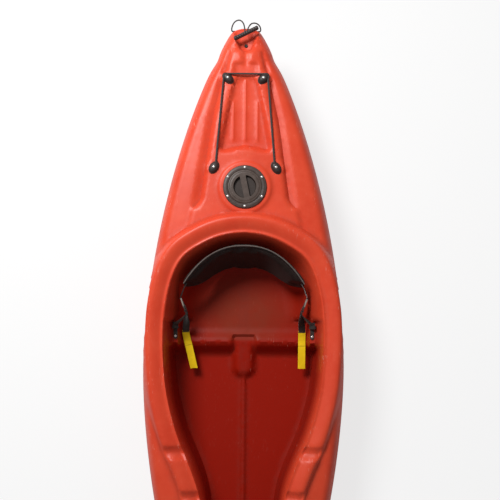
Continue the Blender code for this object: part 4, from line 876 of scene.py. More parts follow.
def stepped(add, value, low, high):
    """A socket's value spread from 0 at low to 1 at high."""
    node = add("MapRange", Value=value, From_Min=low, From_Max=high)
    return node.outputs["Result"]


def moulded_red():
    """Tumbled polyethylene: faint pebbling, slow changes of depth, dirt and painted shade in dished places,
    painted shade deep in the cockpit and in the seat's dish, and pale scuffs.
    """
    made, add, join = finish("moulded_red", RED, 0.42)
    place = add("TexCoord").outputs["Object"]
    slow = noise(add, place, 7.0, 3.0)
    cloud = noise(add, place, 34.0, 5.0, 0.6)
    pebble = noise(add, place, 520.0, 2.0)
    swell = noise(add, place, 22.0, 1.0)
    deep = blended(add, stepped(add, slow, 0.35, 0.7), RED, (0.62, 0.048, 0.018))
    tone = blended(add, times(add, stepped(add, cloud, 0.45, 0.75), 0.35), deep, (0.73, 0.086, 0.036))
    depth = add("Attribute", attribute_name="depth").outputs["Fac"]
    seat = add("Attribute", attribute_name="seat").outputs["Fac"]
    # Painted shade: the colour darkens with depth in the cockpit, and its specular level drops there.
    tone = blended(add, depth, tone, (0.29, 0.0095, 0.0030))
    join(plus(add, times(add, depth, -0.17), 0.26), "Specular IOR Level")
    # Painted shade in the seat's dish, mottled by the cloud noise.
    seat_shade = times(add, seat, plus(add, times(add, cloud, 0.5), 0.55))
    tone = blended(add, seat_shade, tone, (0.215, 0.030, 0.014))
    hollow = add("Attribute", attribute_name="hollow").outputs["Fac"]
    # Dished places darken in patches: dirt and painted shade.
    dirt_and_shade = times(add, hollow, stepped(add, cloud, 0.30, 0.62))
    dirtied_and_shaded = blended(add, times(add, dirt_and_shade, 0.30), tone, (0.20, 0.022, 0.014))
    streaks = add("Mapping", Vector=place, Rotation=(0, 0, 0.5), Scale=(30, 260, 60)).outputs[0]
    nicks = noise(add, streaks, 1.0, 4.0, 0.7)
    cross = add("Mapping", Vector=place, Rotation=(0, 0, -0.9), Scale=(50, 380, 80)).outputs[0]
    hairs = noise(add, cross, 1.0, 3.0, 0.6)
    patch = noise(add, place, 11.0, 2.0)
    crest = add("Attribute", attribute_name="crest").outputs["Fac"]
    marks = math_node(add, "MAXIMUM", stepped(add, nicks, 0.63, 0.68), stepped(add, hairs, 0.665, 0.715))
    scuffs = times(add, marks, stepped(add, patch, 0.47, 0.60))
    scuffs = times(add, scuffs, plus(add, times(add, crest, 0.75), 0.10))
    join(blended(add, scuffs, dirtied_and_shaded, (0.80, 0.34, 0.26)), "Base Color")
    rough = plus(add, times(add, cloud, 0.16), 0.32)
    join(plus(add, rough, times(add, dirt_and_shade, 0.2)), "Roughness")
    coarse = add("Bump", Strength=0.35, Distance=0.0009, Height=swell).outputs[0]
    fine = add("Bump", Strength=0.16, Distance=0.0003, Height=pebble, Normal=coarse).outputs[0]
    scored = add("Bump", Strength=0.2, Distance=0.0002, Height=scuffs, Normal=fine).outputs[0]
    join(scored, "Normal")
    return made


def hull_lines():
    rim = (0.078, 0.070, 0.066, 0.062, 0.058, 0.052, 0.045, 0.037, 0.029, 0.021, 0.014, 0.009, 0.005, 0.002)
    rim += (-0.001, -0.004, -0.008, -0.013, -0.019, -0.0245)
    seat = (-0.035, -0.050, -0.070, -0.090, -0.110, -0.132)
    gunwale = (-0.003, -0.007, -0.012, -0.018, -0.026, -0.036, -0.046)
    lines = form_creases(rim, seat, gunwale, 0.0)
    lines += [circle(HATCH_X, 0, BOSS_RADIUS + shift, 72) for shift in (-0.003, 0.0, 0.003, 0.007, 0.010)]
    for (x0, y0), (x1, y1) in rib_lines():
        for side in (-RIB_HALF, -RIB_HALF / 2, 0, RIB_HALF / 2, RIB_HALF):
            end = 0 if side else RIB_HALF
            lines.append(straight((x0 - end, y0 + side), (x1 + end, y1 + side), 3))
    lines += [circle(x, y, radius, 32) for x, y, radius in seats()]
    return lines


def bilge_lines():
    lines = []
    for distance in (-0.004, -0.009, -0.016, -0.024, -0.034, -0.046, -0.060, -0.075, -0.092, -0.108, -0.120):
        lines += closed_edges(gunwale_outline(40), distance)
    for y in (RUNNER_HALF, RUNNER_HALF + RUNNER_SIDE):
        lines += both_sides(straight((-KEEL_END, y), (KEEL_END, y), 60))
    for shift in (-RUNNER_HALF - RUNNER_SIDE, -RUNNER_HALF, RUNNER_HALF, RUNNER_HALF + RUNNER_SIDE):
        y = SIDE_RUNNER_Y + shift
        end = SIDE_RUNNER_END + 0.05
        lines += both_sides(straight((-end, y), (end, y), 40))
    return lines


def make_hull():
    """The shell: fine outer skins, the hollow inside and the hatch's bore."""
    boundary = gunwale_outline(60)
    top = fine_sheet(boundary, fine_lines(hull_lines(), 0.010), lambda p: read_map(soft_relief, p), 0.010)
    bottom = fine_sheet(boundary, fine_lines(bilge_lines(), 0.016), bottom_height, 0.018)
    hull = shell("kayak_hull", boundary, gunwale_height(boundary[:, 0]), top, bottom)

    inner = offset_outline(gunwale_outline(22), -WALL)
    inner = inner[np.abs(inner[:, 0]) < HALF_LENGTH - SOLID_TIP]
    top = fine_sheet(inner, cavity_creases(), lambda p: eroded(deck_height, p, 1), 0.11)
    bottom = fine_sheet(inner, cavity_bottom_creases(), lambda p: eroded(plain_bottom, p, -1), 0.14)
    edge = (eroded(deck_height, inner, 1) + eroded(plain_bottom, inner, -1)) / 2
    cut(hull, shell("hollow", inner, edge, top, bottom))
    cut(hull, drills([(HATCH_X, 0, HATCH_SEAT, HATCH_BORE, 0.06)]))
    return hull


def mark_wear_and_shade(hull):
    """Where the skin is dished, for dirt and painted shade; stands proud and gets rubbed; or lies deep in
    the cockpit or in the seat's dish, for painted shade.
    """
    count = len(hull.data.vertices)
    place = np.empty(count * 3)
    hull.data.vertices.foreach_get("co", place)
    place = place.reshape(-1, 3)
    wide = soft_relief
    for _ in range(24):
        wide = 0.25 * sum(np.roll(wide, shift, axis) for axis in (0, 1) for shift in (1, -1))
    bulge = read_map(soft_relief - wide, place[:, :2])
    on_deck = np.abs(read_map(soft_relief, place[:, :2]) - place[:, 2]) < 0.004
    x, y, z = place.T
    in_cockpit = (x > COCKPIT_REAR) & (x < COCKPIT_FRONT) & (np.abs(y) < COCKPIT_HALF)
    # Painted shade deep in the cockpit: 0 above the shade's top, 1 a run below it.
    depth = np.clip((SHADE_TOP - z) / SHADE_RUN, 0, 1) * in_cockpit
    # Painted shade in the seat's dish: an ellipse behind the seat's front.
    from_middle = np.hypot((x - SEAT_FRONT + 0.100) / SEAT_SHADE_SPAN[0], y / SEAT_SHADE_SPAN[1])
    seat = np.clip(1.5 - 1.25 * from_middle, 0, 1) * (x < SEAT_FRONT) * depth
    # Proud places get scuffs; dished places get dirt and painted shade.
    relief_share = bulge / FULL_MARK_BULGE
    for name, share in (("hollow", -relief_share), ("crest", relief_share), ("depth", depth), ("seat", seat)):
        values = np.clip(share, 0, 1) * on_deck
        layer = hull.data.attributes.new(name, "FLOAT", "POINT")
        layer.data.foreach_set("value", values.astype(np.float32))


def fitted(obj, body, nodes, look):
    """Gives a piece its finish and puts it on its body in place of its nodes."""
    obj.data.materials.clear()
    obj.data.materials.append(look)
    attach(obj, body)
    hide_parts(*nodes)


hull = make_hull()
mark_wear_and_shade(hull)
fitted(hull, "hull", ["hull"], moulded_red())


# Hatch
# A screw-in deck plate of dark glass-filled plastic: a frame on a rubber gasket, held by six
# stainless pan-head screws, and a lid with an O-ring and a grip bar between two finger pockets.

HATCH_SCREWS = 6
SCREW_CIRCLE = 0.069
SCREW_HEAD = 0.0045
SCREW_HEAD_HEIGHT = 0.0026
SCREW_SHANK = 0.0022
SCREW_WING = (0.0052, 0.0011, 0.0026)
GASKET_THICK = 0.0012
FRAME_RADIUS = 0.077
FRAME_THICK = 0.005
FRAME_NECK = 0.0505
NECK_WALL = 0.004
NECK_DEPTH = 0.028
LID_RADIUS = 0.060
LID_REBATE = 0.002
LID_PROUD = 0.0025
LID_PLUG_DEPTH = 0.014
GRIP_DEPTH = 0.012
GRIP_HALF = 0.0095
GRIP_POCKET = 0.043
GRIP_TURN = math.radians(12)
O_RING_SECTION = 0.0012
GAP = 0.0003


def spun(name, profile, sides, at, smooth=40, ring=False):
    """A profile of (radius, height) points turned about an upright axis."""
    mesh_data = bmesh.new()
    verts = [mesh_data.verts.new((r, 0, z)) for r, z in profile]
    follow = verts[1:] + verts[:1] if ring else verts[1:]
    edges = [mesh_data.edges.new(pair) for pair in zip(verts, follow)]
    bmesh.ops.spin(
        mesh_data,
        geom=verts + edges,
        cent=(0, 0, 0),
        axis=(0, 0, 1),
        angle=math.tau,
        steps=sides,
        use_merge=True,
    )
    bmesh.ops.remove_doubles(mesh_data, verts=mesh_data.verts, dist=1e-6)
    bmesh.ops.translate(mesh_data, vec=at, verts=mesh_data.verts)
    return piece(name, mesh_data, smooth)


def rounded(obj, width, segments=2, angle=35):
    """Softens an object's edges, as a mould does."""
    bevel = obj.modifiers.new("soft_edges", "BEVEL")
    bevel.width = width
    bevel.segments = segments
    bevel.limit_method = "ANGLE"
    bevel.angle_limit = math.radians(angle)
    return settled(obj)


def moulded_brown(name="moulded_brown", colour=(0.052, 0.036, 0.030), grain=1400.0, dirt_and_shade_below=None):
    """Spark-textured dark plastic, a little chalky in patches, and, where a height is given, darker below it
    with dirt and painted shade.
    """
    made, add, join = finish(name, colour, 0.5, Specular_IOR_Level=0.32)
    place = add("TexCoord").outputs["Object"]
    cloud = noise(add, place, 60.0, 5.0, 0.65)
    spark = noise(add, place, grain, 2.0)
    chalk = tuple(c * 1.7 + 0.01 for c in colour)
    dusty = blended(add, times(add, stepped(add, cloud, 0.42, 0.75), 0.55), colour, chalk)
    specks = stepped(add, noise(add, place, 420.0, 1.0), 0.70, 0.76)
    speckled = blended(add, times(add, specks, 0.3), dusty, (0.16, 0.13, 0.11))
    if dirt_and_shade_below:
        # Painted shade, with some dirt: everything below the height darkens, such as the floors of the lid's
        # finger pockets.
        height = add("SeparateXYZ", Vector=place).outputs["Z"]
        dirt_and_shade = times(add, stepped(add, height, dirt_and_shade_below, dirt_and_shade_below - 0.003), 0.72)
        speckled = blended(add, dirt_and_shade, speckled, (0.014, 0.008, 0.006))
    join(speckled, "Base Color")
    join(plus(add, times(add, cloud, 0.22), 0.34), "Roughness")
    join(add("Bump", Strength=0.35, Distance=0.0002, Height=spark).outputs[0], "Normal")
    return made


def soft_rubber(name="seal_rubber"):
    made, add, join = finish(name, (0.018, 0.017, 0.017), 0.72)
    place = add("TexCoord").outputs["Object"]
    bloom = noise(add, place, 90.0, 4.0)
    black, bloomed = (0.016, 0.015, 0.015), (0.045, 0.043, 0.042)
    join(blended(add, stepped(add, bloom, 0.5, 0.8), black, bloomed), "Base Color")
    grain = noise(add, place, 1500.0, 1.0)
    join(add("Bump", Strength=0.25, Distance=0.0001, Height=grain).outputs[0], "Normal")
    return made


def steel_with_painted_glint():
    """Stainless steel, turned: fine rings of wear and dull spots. It is only partly metallic, so its pale
    base colour gives a painted glint.
    """
    # Only partly metallic: the pale base colour is a painted glint.
    made, add, join = finish("steel_with_painted_glint", (0.74, 0.73, 0.71), 0.26, Metallic=0.65)
    place = add("TexCoord").outputs["Object"]
    dull = noise(add, place, 700.0, 3.0)
    join(plus(add, times(add, dull, 0.3), 0.14), "Roughness")
    join(blended(add, stepped(add, dull, 0.45, 0.8), (0.76, 0.75, 0.72), (0.50, 0.48, 0.45)), "Base Color")
    join(add("Bump", Strength=0.2, Distance=0.00005, Height=dull).outputs[0], "Normal")
    return made


def pan_head(name, x, y, seat, length, turn):
    """A pan-head screw with a cross recess, its head on a seat height."""
    low, high = seat - length, seat + GAP
    head = [
        (0, low),
        (SCREW_SHANK, low + SCREW_SHANK),
        (SCREW_SHANK, high),
        (SCREW_HEAD * 0.94, high),
        (SCREW_HEAD, high + SCREW_HEAD_HEIGHT * 0.2),
        (SCREW_HEAD * 0.97, high + SCREW_HEAD_HEIGHT * 0.5),
        (SCREW_HEAD * 0.80, high + SCREW_HEAD_HEIGHT * 0.84),
        (SCREW_HEAD * 0.45, high + SCREW_HEAD_HEIGHT * 0.98),
        (0, high + SCREW_HEAD_HEIGHT),
    ]
    made = spun(name, head, 24, (0, 0, 0))
    for quarter in (0, math.pi / 2):
        recess = bmesh.new()
        slot = Matrix.Translation((0, 0, high + SCREW_HEAD_HEIGHT)) @ Matrix.Rotation(quarter + turn, 4, "Z")
        wings = bmesh.ops.create_cube(recess, size=1, matrix=slot @ Matrix.Diagonal((*SCREW_WING, 1)))
        foot = [v for v in wings["verts"] if v.co.z < high + SCREW_HEAD_HEIGHT]
        bmesh.ops.scale(recess, vec=(0.45, 0.45, 1), verts=foot)
        cut(made, piece("recess", recess))
    made.data.transform(Matrix.Translation((x, y, 0)))
    return made


low = HATCH_SEAT + 2 * GAP + GASKET_THICK
high = low + FRAME_THICK
lid_top = high + LID_PROUD
hatch_at = (HATCH_X, 0, 0)
screw_turns = [math.pi + i * math.tau / HATCH_SCREWS for i in range(HATCH_SCREWS)]
screw_places = [(HATCH_X + SCREW_CIRCLE * math.cos(t), SCREW_CIRCLE * math.sin(t)) for t in screw_turns]

neck = FRAME_NECK + NECK_WALL
gasket_profile = [
    (neck + 2 * GAP, HATCH_SEAT + GAP),
    (FRAME_RADIUS - 0.001, HATCH_SEAT + GAP),
    (FRAME_RADIUS - 0.0006, HATCH_SEAT + GAP + GASKET_THICK / 2),
    (FRAME_RADIUS - 0.001, low - GAP),
    (neck + 2 * GAP, low - GAP),
]
gasket = spun("hatch_gasket_seal", gasket_profile, 96, hatch_at, ring=True)
fitted(gasket, "hull", ["hatch_gasket"], soft_rubber())

rebate = LID_RADIUS + 2 * GAP
frame_profile = [
    (FRAME_NECK, HATCH_SEAT - NECK_DEPTH),
    (neck, HATCH_SEAT - NECK_DEPTH),
    (neck, low),
    (FRAME_RADIUS - 0.0004, low),
    (FRAME_RADIUS, low + 0.0005),
    (FRAME_RADIUS - 0.0001, low + 0.0018),
    (FRAME_RADIUS - 0.0012, low + 0.0032),
    (FRAME_RADIUS - 0.0028, high - 0.0011),
    (FRAME_RADIUS - 0.0038, high - 0.0008),
    (FRAME_RADIUS - 0.0045, high - 0.0009),
    (FRAME_RADIUS - 0.0055, high - 0.0003),
    (rebate + 0.0040, high),
    (rebate + 0.0030, high - 0.0003),
    (rebate + 0.0022, high + 0.0006),
    (rebate + 0.0010, high + 0.0006),
    (rebate, high),
    (rebate, high - LID_REBATE),
    (FRAME_NECK, high - LID_REBATE),
]
hatch_ring = spun("hatch_deck_ring", frame_profile, 120, hatch_at, 30, ring=True)
holes = [(x, y, low, SCREW_SHANK + GAP, 0.03) for x, y in screw_places]
cut(hatch_ring, drills(holes))
brown = moulded_brown()
fitted(hatch_ring, "hull", ["hatch_frame"], brown)
steel = steel_with_painted_glint()
for i, (x, y) in enumerate(screw_places):
    head = pan_head(f"hatch_fixing_{i + 1}", x, y, high, 0.018, 0.4 + 0.9 * i)
    fitted(head, "hull", [f"hatch_screw_{i + 1}"], steel)

plug = FRAME_NECK - GAP - O_RING_SECTION
seal_height = high - LID_REBATE - 0.006
seal_turns = np.arange(10) * math.tau / 10
seal_profile = [
    (plug + O_RING_SECTION * math.cos(t), seal_height + O_RING_SECTION * math.sin(t)) for t in seal_turns
]
o_ring = spun("hatch_seal_ring", seal_profile, 96, hatch_at, 60, ring=True)
fitted(o_ring, "hatch_lid", ["hatch_o_ring"], soft_rubber("o_ring_rubber"))

groove = O_RING_SECTION + GAP
under = high - LID_REBATE + GAP
lid_profile = [
    (0, under - LID_PLUG_DEPTH),
    (plug - 0.001, under - LID_PLUG_DEPTH),
    (plug, under - LID_PLUG_DEPTH + 0.001),
    (plug, seal_height - groove),
    (plug - groove, seal_height - groove),
    (plug - groove, seal_height + groove),
    (plug, seal_height + groove),
    (plug, under),
    (LID_RADIUS, under),
    (LID_RADIUS, lid_top - 0.0016),
    (LID_RADIUS - 0.0006, lid_top - 0.0006),
    (LID_RADIUS - 0.0018, lid_top),
    (LID_RADIUS - 0.0058, lid_top),
    (LID_RADIUS - 0.0064, lid_top - 0.0007),
    (LID_RADIUS - 0.0076, lid_top - 0.0007),
    (LID_RADIUS - 0.0084, lid_top - 0.0001),
    (GRIP_POCKET + 0.0045, lid_top - 0.0001),
    (0, lid_top),
]
lid = spun("hatch_turning_lid", lid_profile, 120, hatch_at, 30)


def finger_pocket(side):
    """A half-moon pocket with round corners and a sloping wall, beside the grip bar."""
    mesh_data = bmesh.new()
    bmesh.ops.create_cone(
        mesh_data,
        cap_ends=True,
        segments=64,
        radius1=GRIP_POCKET - 0.006,
        radius2=GRIP_POCKET + 0.001,
        depth=2 * GRIP_DEPTH,
    )
    halved = bmesh.ops.bisect_plane(
        mesh_data,
        geom=mesh_data.verts[:] + mesh_data.edges[:] + mesh_data.faces[:],
        plane_co=(0, side * (GRIP_HALF + 0.0008), 0),
        plane_no=(0, -side, 0.12),
        clear_outer=True,
    )
    open_edges = [e for e in halved["geom_cut"] if isinstance(e, bmesh.types.BMEdge)]
    bmesh.ops.contextual_create(mesh_data, geom=open_edges)
    upright = [e for e in mesh_data.edges if abs(e.verts[0].co.z - e.verts[1].co.z) > GRIP_DEPTH]
    corners = [e for e in upright if len(e.link_faces) == 2 and e.calc_face_angle() > 0.7]
    bmesh.ops.bevel(
        mesh_data, geom=corners, offset=0.0065, segments=6, profile=0.5, affect="EDGES", material=-1
    )
    whole = Matrix.Translation((HATCH_X, 0, lid_top)) @ Matrix.Rotation(GRIP_TURN, 4, "Z")
    bmesh.ops.transform(mesh_data, matrix=whole, verts=mesh_data.verts)
    return piece("finger_pocket", mesh_data)


for side in (1, -1):
    cut(lid, finger_pocket(side))
rounded(lid, 0.0007, 2, 40)
lid_look = moulded_brown("moulded_lid", (0.058, 0.039, 0.031), 1100.0, lid_top - 0.0012)
fitted(lid, "hatch_lid", ["hatch_lid"], lid_look)


# Deck eyes and bungee cord
# Four domed eyes of black nylon, each screwed to a flat of the deck, and a shock cord in a
# braided sheath that runs through them over the well, its ends knotted under the front pair.

EYE_LENGTH = 0.049
EYE_WIDTH = 0.033
EYE_HEIGHT = 0.013
BUNGEE_RADIUS = 0.00325
BUNGEE_RISE = 0.0055
BUNGEE_TURN = 0.0155
BUNGEE_ENTRY = (0.009, 0.0055)


def deck_eye(name, place, level, turn):
    """A flanged dome, drawn out oval, with a flat seat for its screw on top."""
    profile = [
        (0.0, 0.0),
        (0.46, 0.0),
        (0.5, 0.05),
        (0.5, 0.15),
        (0.47, 0.21),
        (0.44, 0.24),
        (0.42, 0.42),
        (0.385, 0.62),
        (0.33, 0.79),
        (0.26, 0.92),
        (0.19, 0.985),
        (0.155, 1.0),
        (0.0, 1.0),
    ]
    made = spun(name, [(r, z * EYE_HEIGHT) for r, z in profile], 64, (0, 0, 0), 30)
    made.data.transform(Matrix.Diagonal((EYE_LENGTH, EYE_WIDTH, 1, 1)))
    made.data.transform(Matrix.Translation((*place, level + GAP)) @ Matrix.Rotation(turn, 4, "Z"))
    return made


def corded(name, points, radius, sides=14):
    """A round cord along a line, with a map of its length and its girth for the braid."""
    points = [Vector(p) for p in points]
    mesh_data = bmesh.new()
    chart = mesh_data.loops.layers.uv.new("braid")
    run, girth, rings, turned = {}, {}, [], None
    travelled = 0.0
    for i, point in enumerate(points):
        ahead = (points[min(i + 1, len(points) - 1)] - points[max(i - 1, 0)]).normalized()
        if turned is None:
            turned = ahead.orthogonal().normalized()
        else:
            travelled += (point - points[i - 1]).length
        turned = (turned - turned.project(ahead)).normalized()
        side = ahead.cross(turned)
        basis = Matrix((turned, side, ahead)).transposed().to_4x4()
        ring = bmesh.ops.create_circle(
            mesh_data, segments=sides, radius=radius, matrix=Matrix.Translation(point) @ basis
        )["verts"]
        angles = {v: math.atan2((v.co - point).dot(side), (v.co - point).dot(turned)) for v in ring}
        ring = sorted(ring, key=lambda v: angles[v] % math.tau)
        for k, vert in enumerate(ring):
            run[vert], girth[vert] = travelled, k / sides
        rings.append(ring)
    for pair in zip(rings, rings[1:]):
        around = {e for ring in pair for v in ring for e in v.link_edges if e.other_vert(v) in ring}
        bmesh.ops.bridge_loops(mesh_data, edges=list(around))
    for ring in (rings[0], rings[-1]):
        bmesh.ops.contextual_create(mesh_data, geom=ring)
    for face in mesh_data.faces:
        values = [girth[loop.vert] for loop in face.loops]
        wraps = max(values) - min(values) > 0.5
        for loop in face.loops:
            around = girth[loop.vert]
            loop[chart].uv = (run[loop.vert], around + 1 if wraps and around < 0.5 else around)
    return piece(name, mesh_data, 60)


def braided(name, colour, lit_fleck, radius, strands):
    """A woven sheath: crossing strands, each a little round, painted darker in the grooves between them and
    lighter on their crowns, with flecks of lighter yarn.
    """
    made, add, join = finish(name, colour, 0.78, Sheen_Weight=0.3)
    chart = add("UVMap").outputs["UV"]
    split = add("SeparateXYZ", Vector=chart)
    along = times(add, split.outputs["X"], strands / (math.tau * radius))
    around = times(add, split.outputs["Y"], strands)
    one = plus(add, along, around)
    two = math_node(add, "SUBTRACT", along, around)
    first = math_node(add, "PINGPONG", one, 0.5)
    second = math_node(add, "PINGPONG", two, 0.5)
    plait = math_node(add, "MAXIMUM", first, second)
    fuzz = noise(add, add("TexCoord").outputs["Object"], 900.0, 3.0)
    # Painted shade in the grooves between strands and painted light on their crowns, flecked by the fuzz.
    shade = times(add, stepped(add, plait, 0.12, 0.45), stepped(add, fuzz, 0.1, 0.7))
    join(blended(add, shade, tuple(c * 0.35 for c in colour), lit_fleck), "Base Color")
    high_yarn = plus(add, plait, times(add, fuzz, 0.3))
    join(add("Bump", Strength=0.8, Distance=0.0005, Height=high_yarn).outputs[0], "Normal")
    return made


rear_x, rear_y = REAR_EYE
front_height = seat_level(*FRONT_EYE) + BUNGEE_RISE
rear_height = seat_level(*REAR_EYE) + BUNGEE_RISE
cord_start = Vector((FRONT_EYE[0] - BUNGEE_ENTRY[0], FRONT_EYE[1] - BUNGEE_ENTRY[1], front_height))
cord_turn = [
    Vector((rear_x + BUNGEE_TURN * math.cos(t), rear_y + BUNGEE_TURN * math.sin(t), rear_height))
    for t in np.linspace(math.radians(88), math.radians(180), 14)
]
cord_half = [cord_start.lerp(cord_turn[0], i / 30) for i in range(30)] + cord_turn
cord_across = [cord_turn[-1].lerp(cord_turn[-1] * Vector((1, -1, 1)), i / 12) for i in range(1, 12)]
cord_path = cord_half + cord_across + [p * Vector((1, -1, 1)) for p in cord_half[::-1]]
bungee = corded("shock_cord", cord_path, BUNGEE_RADIUS)
bungee_sheath = braided("bungee_sheath", (0.026, 0.019, 0.017), (0.055, 0.042, 0.038), BUNGEE_RADIUS, 10.0)
fitted(bungee, "hull", ["bungee_cord"], bungee_sheath)

black = moulded_brown("moulded_black", (0.030, 0.021, 0.019), 1600.0)
for where, place, side, angle in (
    ("front_port", FRONT_EYE, 1, 32),
    ("front_starboard", FRONT_EYE, -1, 32),
    ("rear_port", REAR_EYE, 1, 135),
    ("rear_starboard", REAR_EYE, -1, 135),
):
    spot = (place[0], place[1] * side)
    level = seat_level(*spot)
    eye = deck_eye(f"cord_eye_{where}", spot, level, math.radians(angle) * side)
    fitted(eye, "hull", [f"deck_eye_{where}"], black)
    head = pan_head(f"cord_eye_fixing_{where}", *spot, level + GAP + EYE_HEIGHT, 0.026, angle)
    fitted(head, "hull", [f"deck_eye_screw_{where}"], steel)


# Carry handles and drain plug
# At each end a turned plastic toggle on a loop of braided rope, which passes through a bore in
# the solid tip and knots inside the toggle. A push-in plug closes the drain of the stern recess.

BORE_INSET = 0.011
BORE_HEIGHT = 0.240
ROPE_RADIUS = 0.0025
TOGGLE_LENGTH = 0.096
TOGGLE_RADIUS = 0.008
TOGGLE_X = LENGTH / 2 - 0.034
TOGGLE_HEIGHT = 0.288
TOGGLE_TURN = math.radians(27)
BORE_X = HALF_LENGTH - BORE_INSET
PLUG_X = LENGTH / 2 - RECESS_LENGTH + 0.020
PLUG_RADIUS = 0.0055
PLUG_HEAD = 0.0065
PLUG_DEPTH = 0.010


def rope_points():
    """The bow handle's rope: out of the toggle, round the tip and through the bore in the hull."""
    tip, top = HALF_LENGTH, TOGGLE_HEIGHT
    half_bore = float(half_beam(BORE_X))
    return [
        (TOGGLE_X, 0.004, top),
        (TOGGLE_X + 0.018, 0.005, top),
        (tip + 0.004, 0.010, top + 0.002),
        (tip + 0.018, 0.024, top - 0.006),
        (tip + 0.017, 0.042, top - 0.022),
        (tip + 0.004, half_bore + 0.007, BORE_HEIGHT + 0.008),
        (BORE_X, half_bore + 0.008, BORE_HEIGHT),
        (BORE_X, half_bore - 0.002, BORE_HEIGHT),
        (BORE_X, 0.0, BORE_HEIGHT),
        (BORE_X, 0.002 - half_bore, BORE_HEIGHT),
        (BORE_X, -half_bore - 0.008, BORE_HEIGHT),
        (tip + 0.004, -half_bore - 0.006, BORE_HEIGHT + 0.010),
        (tip + 0.010, -0.038, top - 0.018),
        (tip + 0.004, -0.018, top - 0.003),
        (TOGGLE_X + 0.018, -0.006, top),
        (TOGGLE_X, -0.004, top),
    ]


def make_handle(end, turn, rope_look):
    """A grooved toggle and its rope loop, turned from the bow's place to its own end."""
    whole = Matrix.Rotation(turn, 4, "Z")
    half = TOGGLE_LENGTH / 2
    grip = [(0, -half), (0.62, -half), (0.93, -half + 0.0018), (1, -half + 0.004)]
    for z in np.linspace(-half + 0.012, half - 0.012, 9):
        grip += [(0.985, z - 0.0016), (0.90, z - 0.0008), (0.90, z + 0.0008), (0.985, z + 0.0016)]
    grip += [(r, -z) for r, z in grip[3::-1]]
    grip = [(TOGGLE_RADIUS * r, z) for r, z in grip]
    toggle = spun(f"{end}_grip_toggle", grip, 40, (0, 0, 0), 50)
    lay = Matrix.Rotation(TOGGLE_TURN, 4, "Z") @ Matrix.Rotation(math.pi / 2, 4, "X")
    toggle.data.transform(whole @ Matrix.Translation((TOGGLE_X, 0, TOGGLE_HEIGHT)) @ lay)
    fitted(toggle, f"{end}_handle", [f"{end}_toggle"], black)
    route = [whole @ Vector(p) for p in eased(rope_points(), 3)]
    rope = corded(f"{end}_handle_rope", route, ROPE_RADIUS, 12)
    fitted(rope, f"{end}_handle", [f"{end}_rope"], rope_look)


rope_sheath = braided("rope_sheath", (0.024, 0.018, 0.016), (0.060, 0.046, 0.040), ROPE_RADIUS, 8.0)
make_handle("bow", 0, rope_sheath)
make_handle("stern", math.pi, rope_sheath)

plug_seat = RECESS_FLOOR + GAP
stem = PLUG_RADIUS - GAP
plug_profile = [
    (0, plug_seat - PLUG_DEPTH),
    (stem * 0.8, plug_seat - PLUG_DEPTH),
    (stem, plug_seat - PLUG_DEPTH * 0.8),
    (stem, plug_seat),
    (PLUG_HEAD, plug_seat),
    (PLUG_HEAD, plug_seat + 0.0014),
    (PLUG_HEAD * 0.9, plug_seat + 0.0026),
    (PLUG_HEAD * 0.72, plug_seat + 0.003),
    (PLUG_HEAD * 0.55, plug_seat + 0.0024),
    (PLUG_HEAD * 0.3, plug_seat + 0.0021),
    (0, plug_seat + 0.002),
]
plug_piece = spun("drain_bung", plug_profile, 40, (-PLUG_X, 0, 0), 45)
fitted(plug_piece, "drain_plug", ["drain_plug"], soft_rubber("plug_rubber"))


# Backrest
# A curved band of foam in a coated nylon cover, which hangs on a strap at each wing. Its panels are
# sewn together round the edge, with a second row of stitching inside it and grey piping on top.

BACK_HALF_WIDTH = COCKPIT_HALF - 0.068
BACK_TOP_X = COCKPIT_REAR + 0.047
BACK_TOP_WRAP = 0.130
BACK_TOP_HEIGHT = 0.285
BACK_TOP_SAG = 0.020
BACK_BOTTOM_X = COCKPIT_REAR + 0.110
BACK_BOTTOM_WRAP = 0.084
BACK_WING_HEIGHT = 0.190
BACK_THICK = 0.024
BACK_CLEARANCE = 0.006
PIPING_RADIUS = 0.002
PAD_COLUMNS = 120
PAD_ROWS = 32
PAD_FOAM = 0.015
PAD_SWELL = 0.005
SEAM_INSET = 0.010
SEAM_DEPTH = 0.0016
STITCH_STEP = 0.0042
STITCH_RADIUS = 0.00032
FILLING_MOMENTS = 20


def height_at(x, y):
    return float(deck_height(np.array([[x, y]]))[0])


def back_top(s):
    """The pad's upper edge, s running from -1 to 1 across the boat."""
    x = BACK_TOP_X + BACK_TOP_WRAP * abs(s) ** 2.4
    return Vector((x, BACK_HALF_WIDTH * s, BACK_TOP_HEIGHT - BACK_TOP_SAG * s * s))


def back_bottom(s):
    """The pad's lower edge: just off the seat in the middle, higher at the wings."""
    lift = float(ramp(abs(s), 0.2, 1.0))
    x = BACK_BOTTOM_X + BACK_BOTTOM_WRAP * lift
    y = BACK_HALF_WIDTH * s
    seat = max(height_at(x + reach, y) for reach in (-BACK_THICK / 2, 0, BACK_THICK / 2))
    low = seat + BACK_CLEARANCE
    return Vector((x, y, max(low, low + (BACK_WING_HEIGHT - low) * lift)))


pad_stations = np.linspace(-1, 1, 81)
pad_tops = np.array([back_top(s) for s in pad_stations])
pad_bottoms = np.array([back_bottom(s) for s in pad_stations])
pad_run = np.gradient(pad_tops + pad_bottoms, axis=0)


def pad_point(s, u, v):
    """A point of the pad: s across the boat, u down from its upper edge and v through it, aft."""
    top, bottom, ahead = (
        Vector([float(np.interp(s, pad_stations, rows[:, axis])) for axis in range(3)])
        for rows in (pad_tops, pad_bottoms, pad_run)
    )
    bottom.z -= 0.0035 * math.exp(-((s / 0.055) ** 2))
    top, bottom = top.lerp(bottom, 0.10 * abs(s) ** 14), bottom.lerp(top, 0.24 * abs(s) ** 12)
    normal = Vector((-ahead.y, ahead.x, 0)).normalized()
    return top.lerp(bottom, u) + normal * v


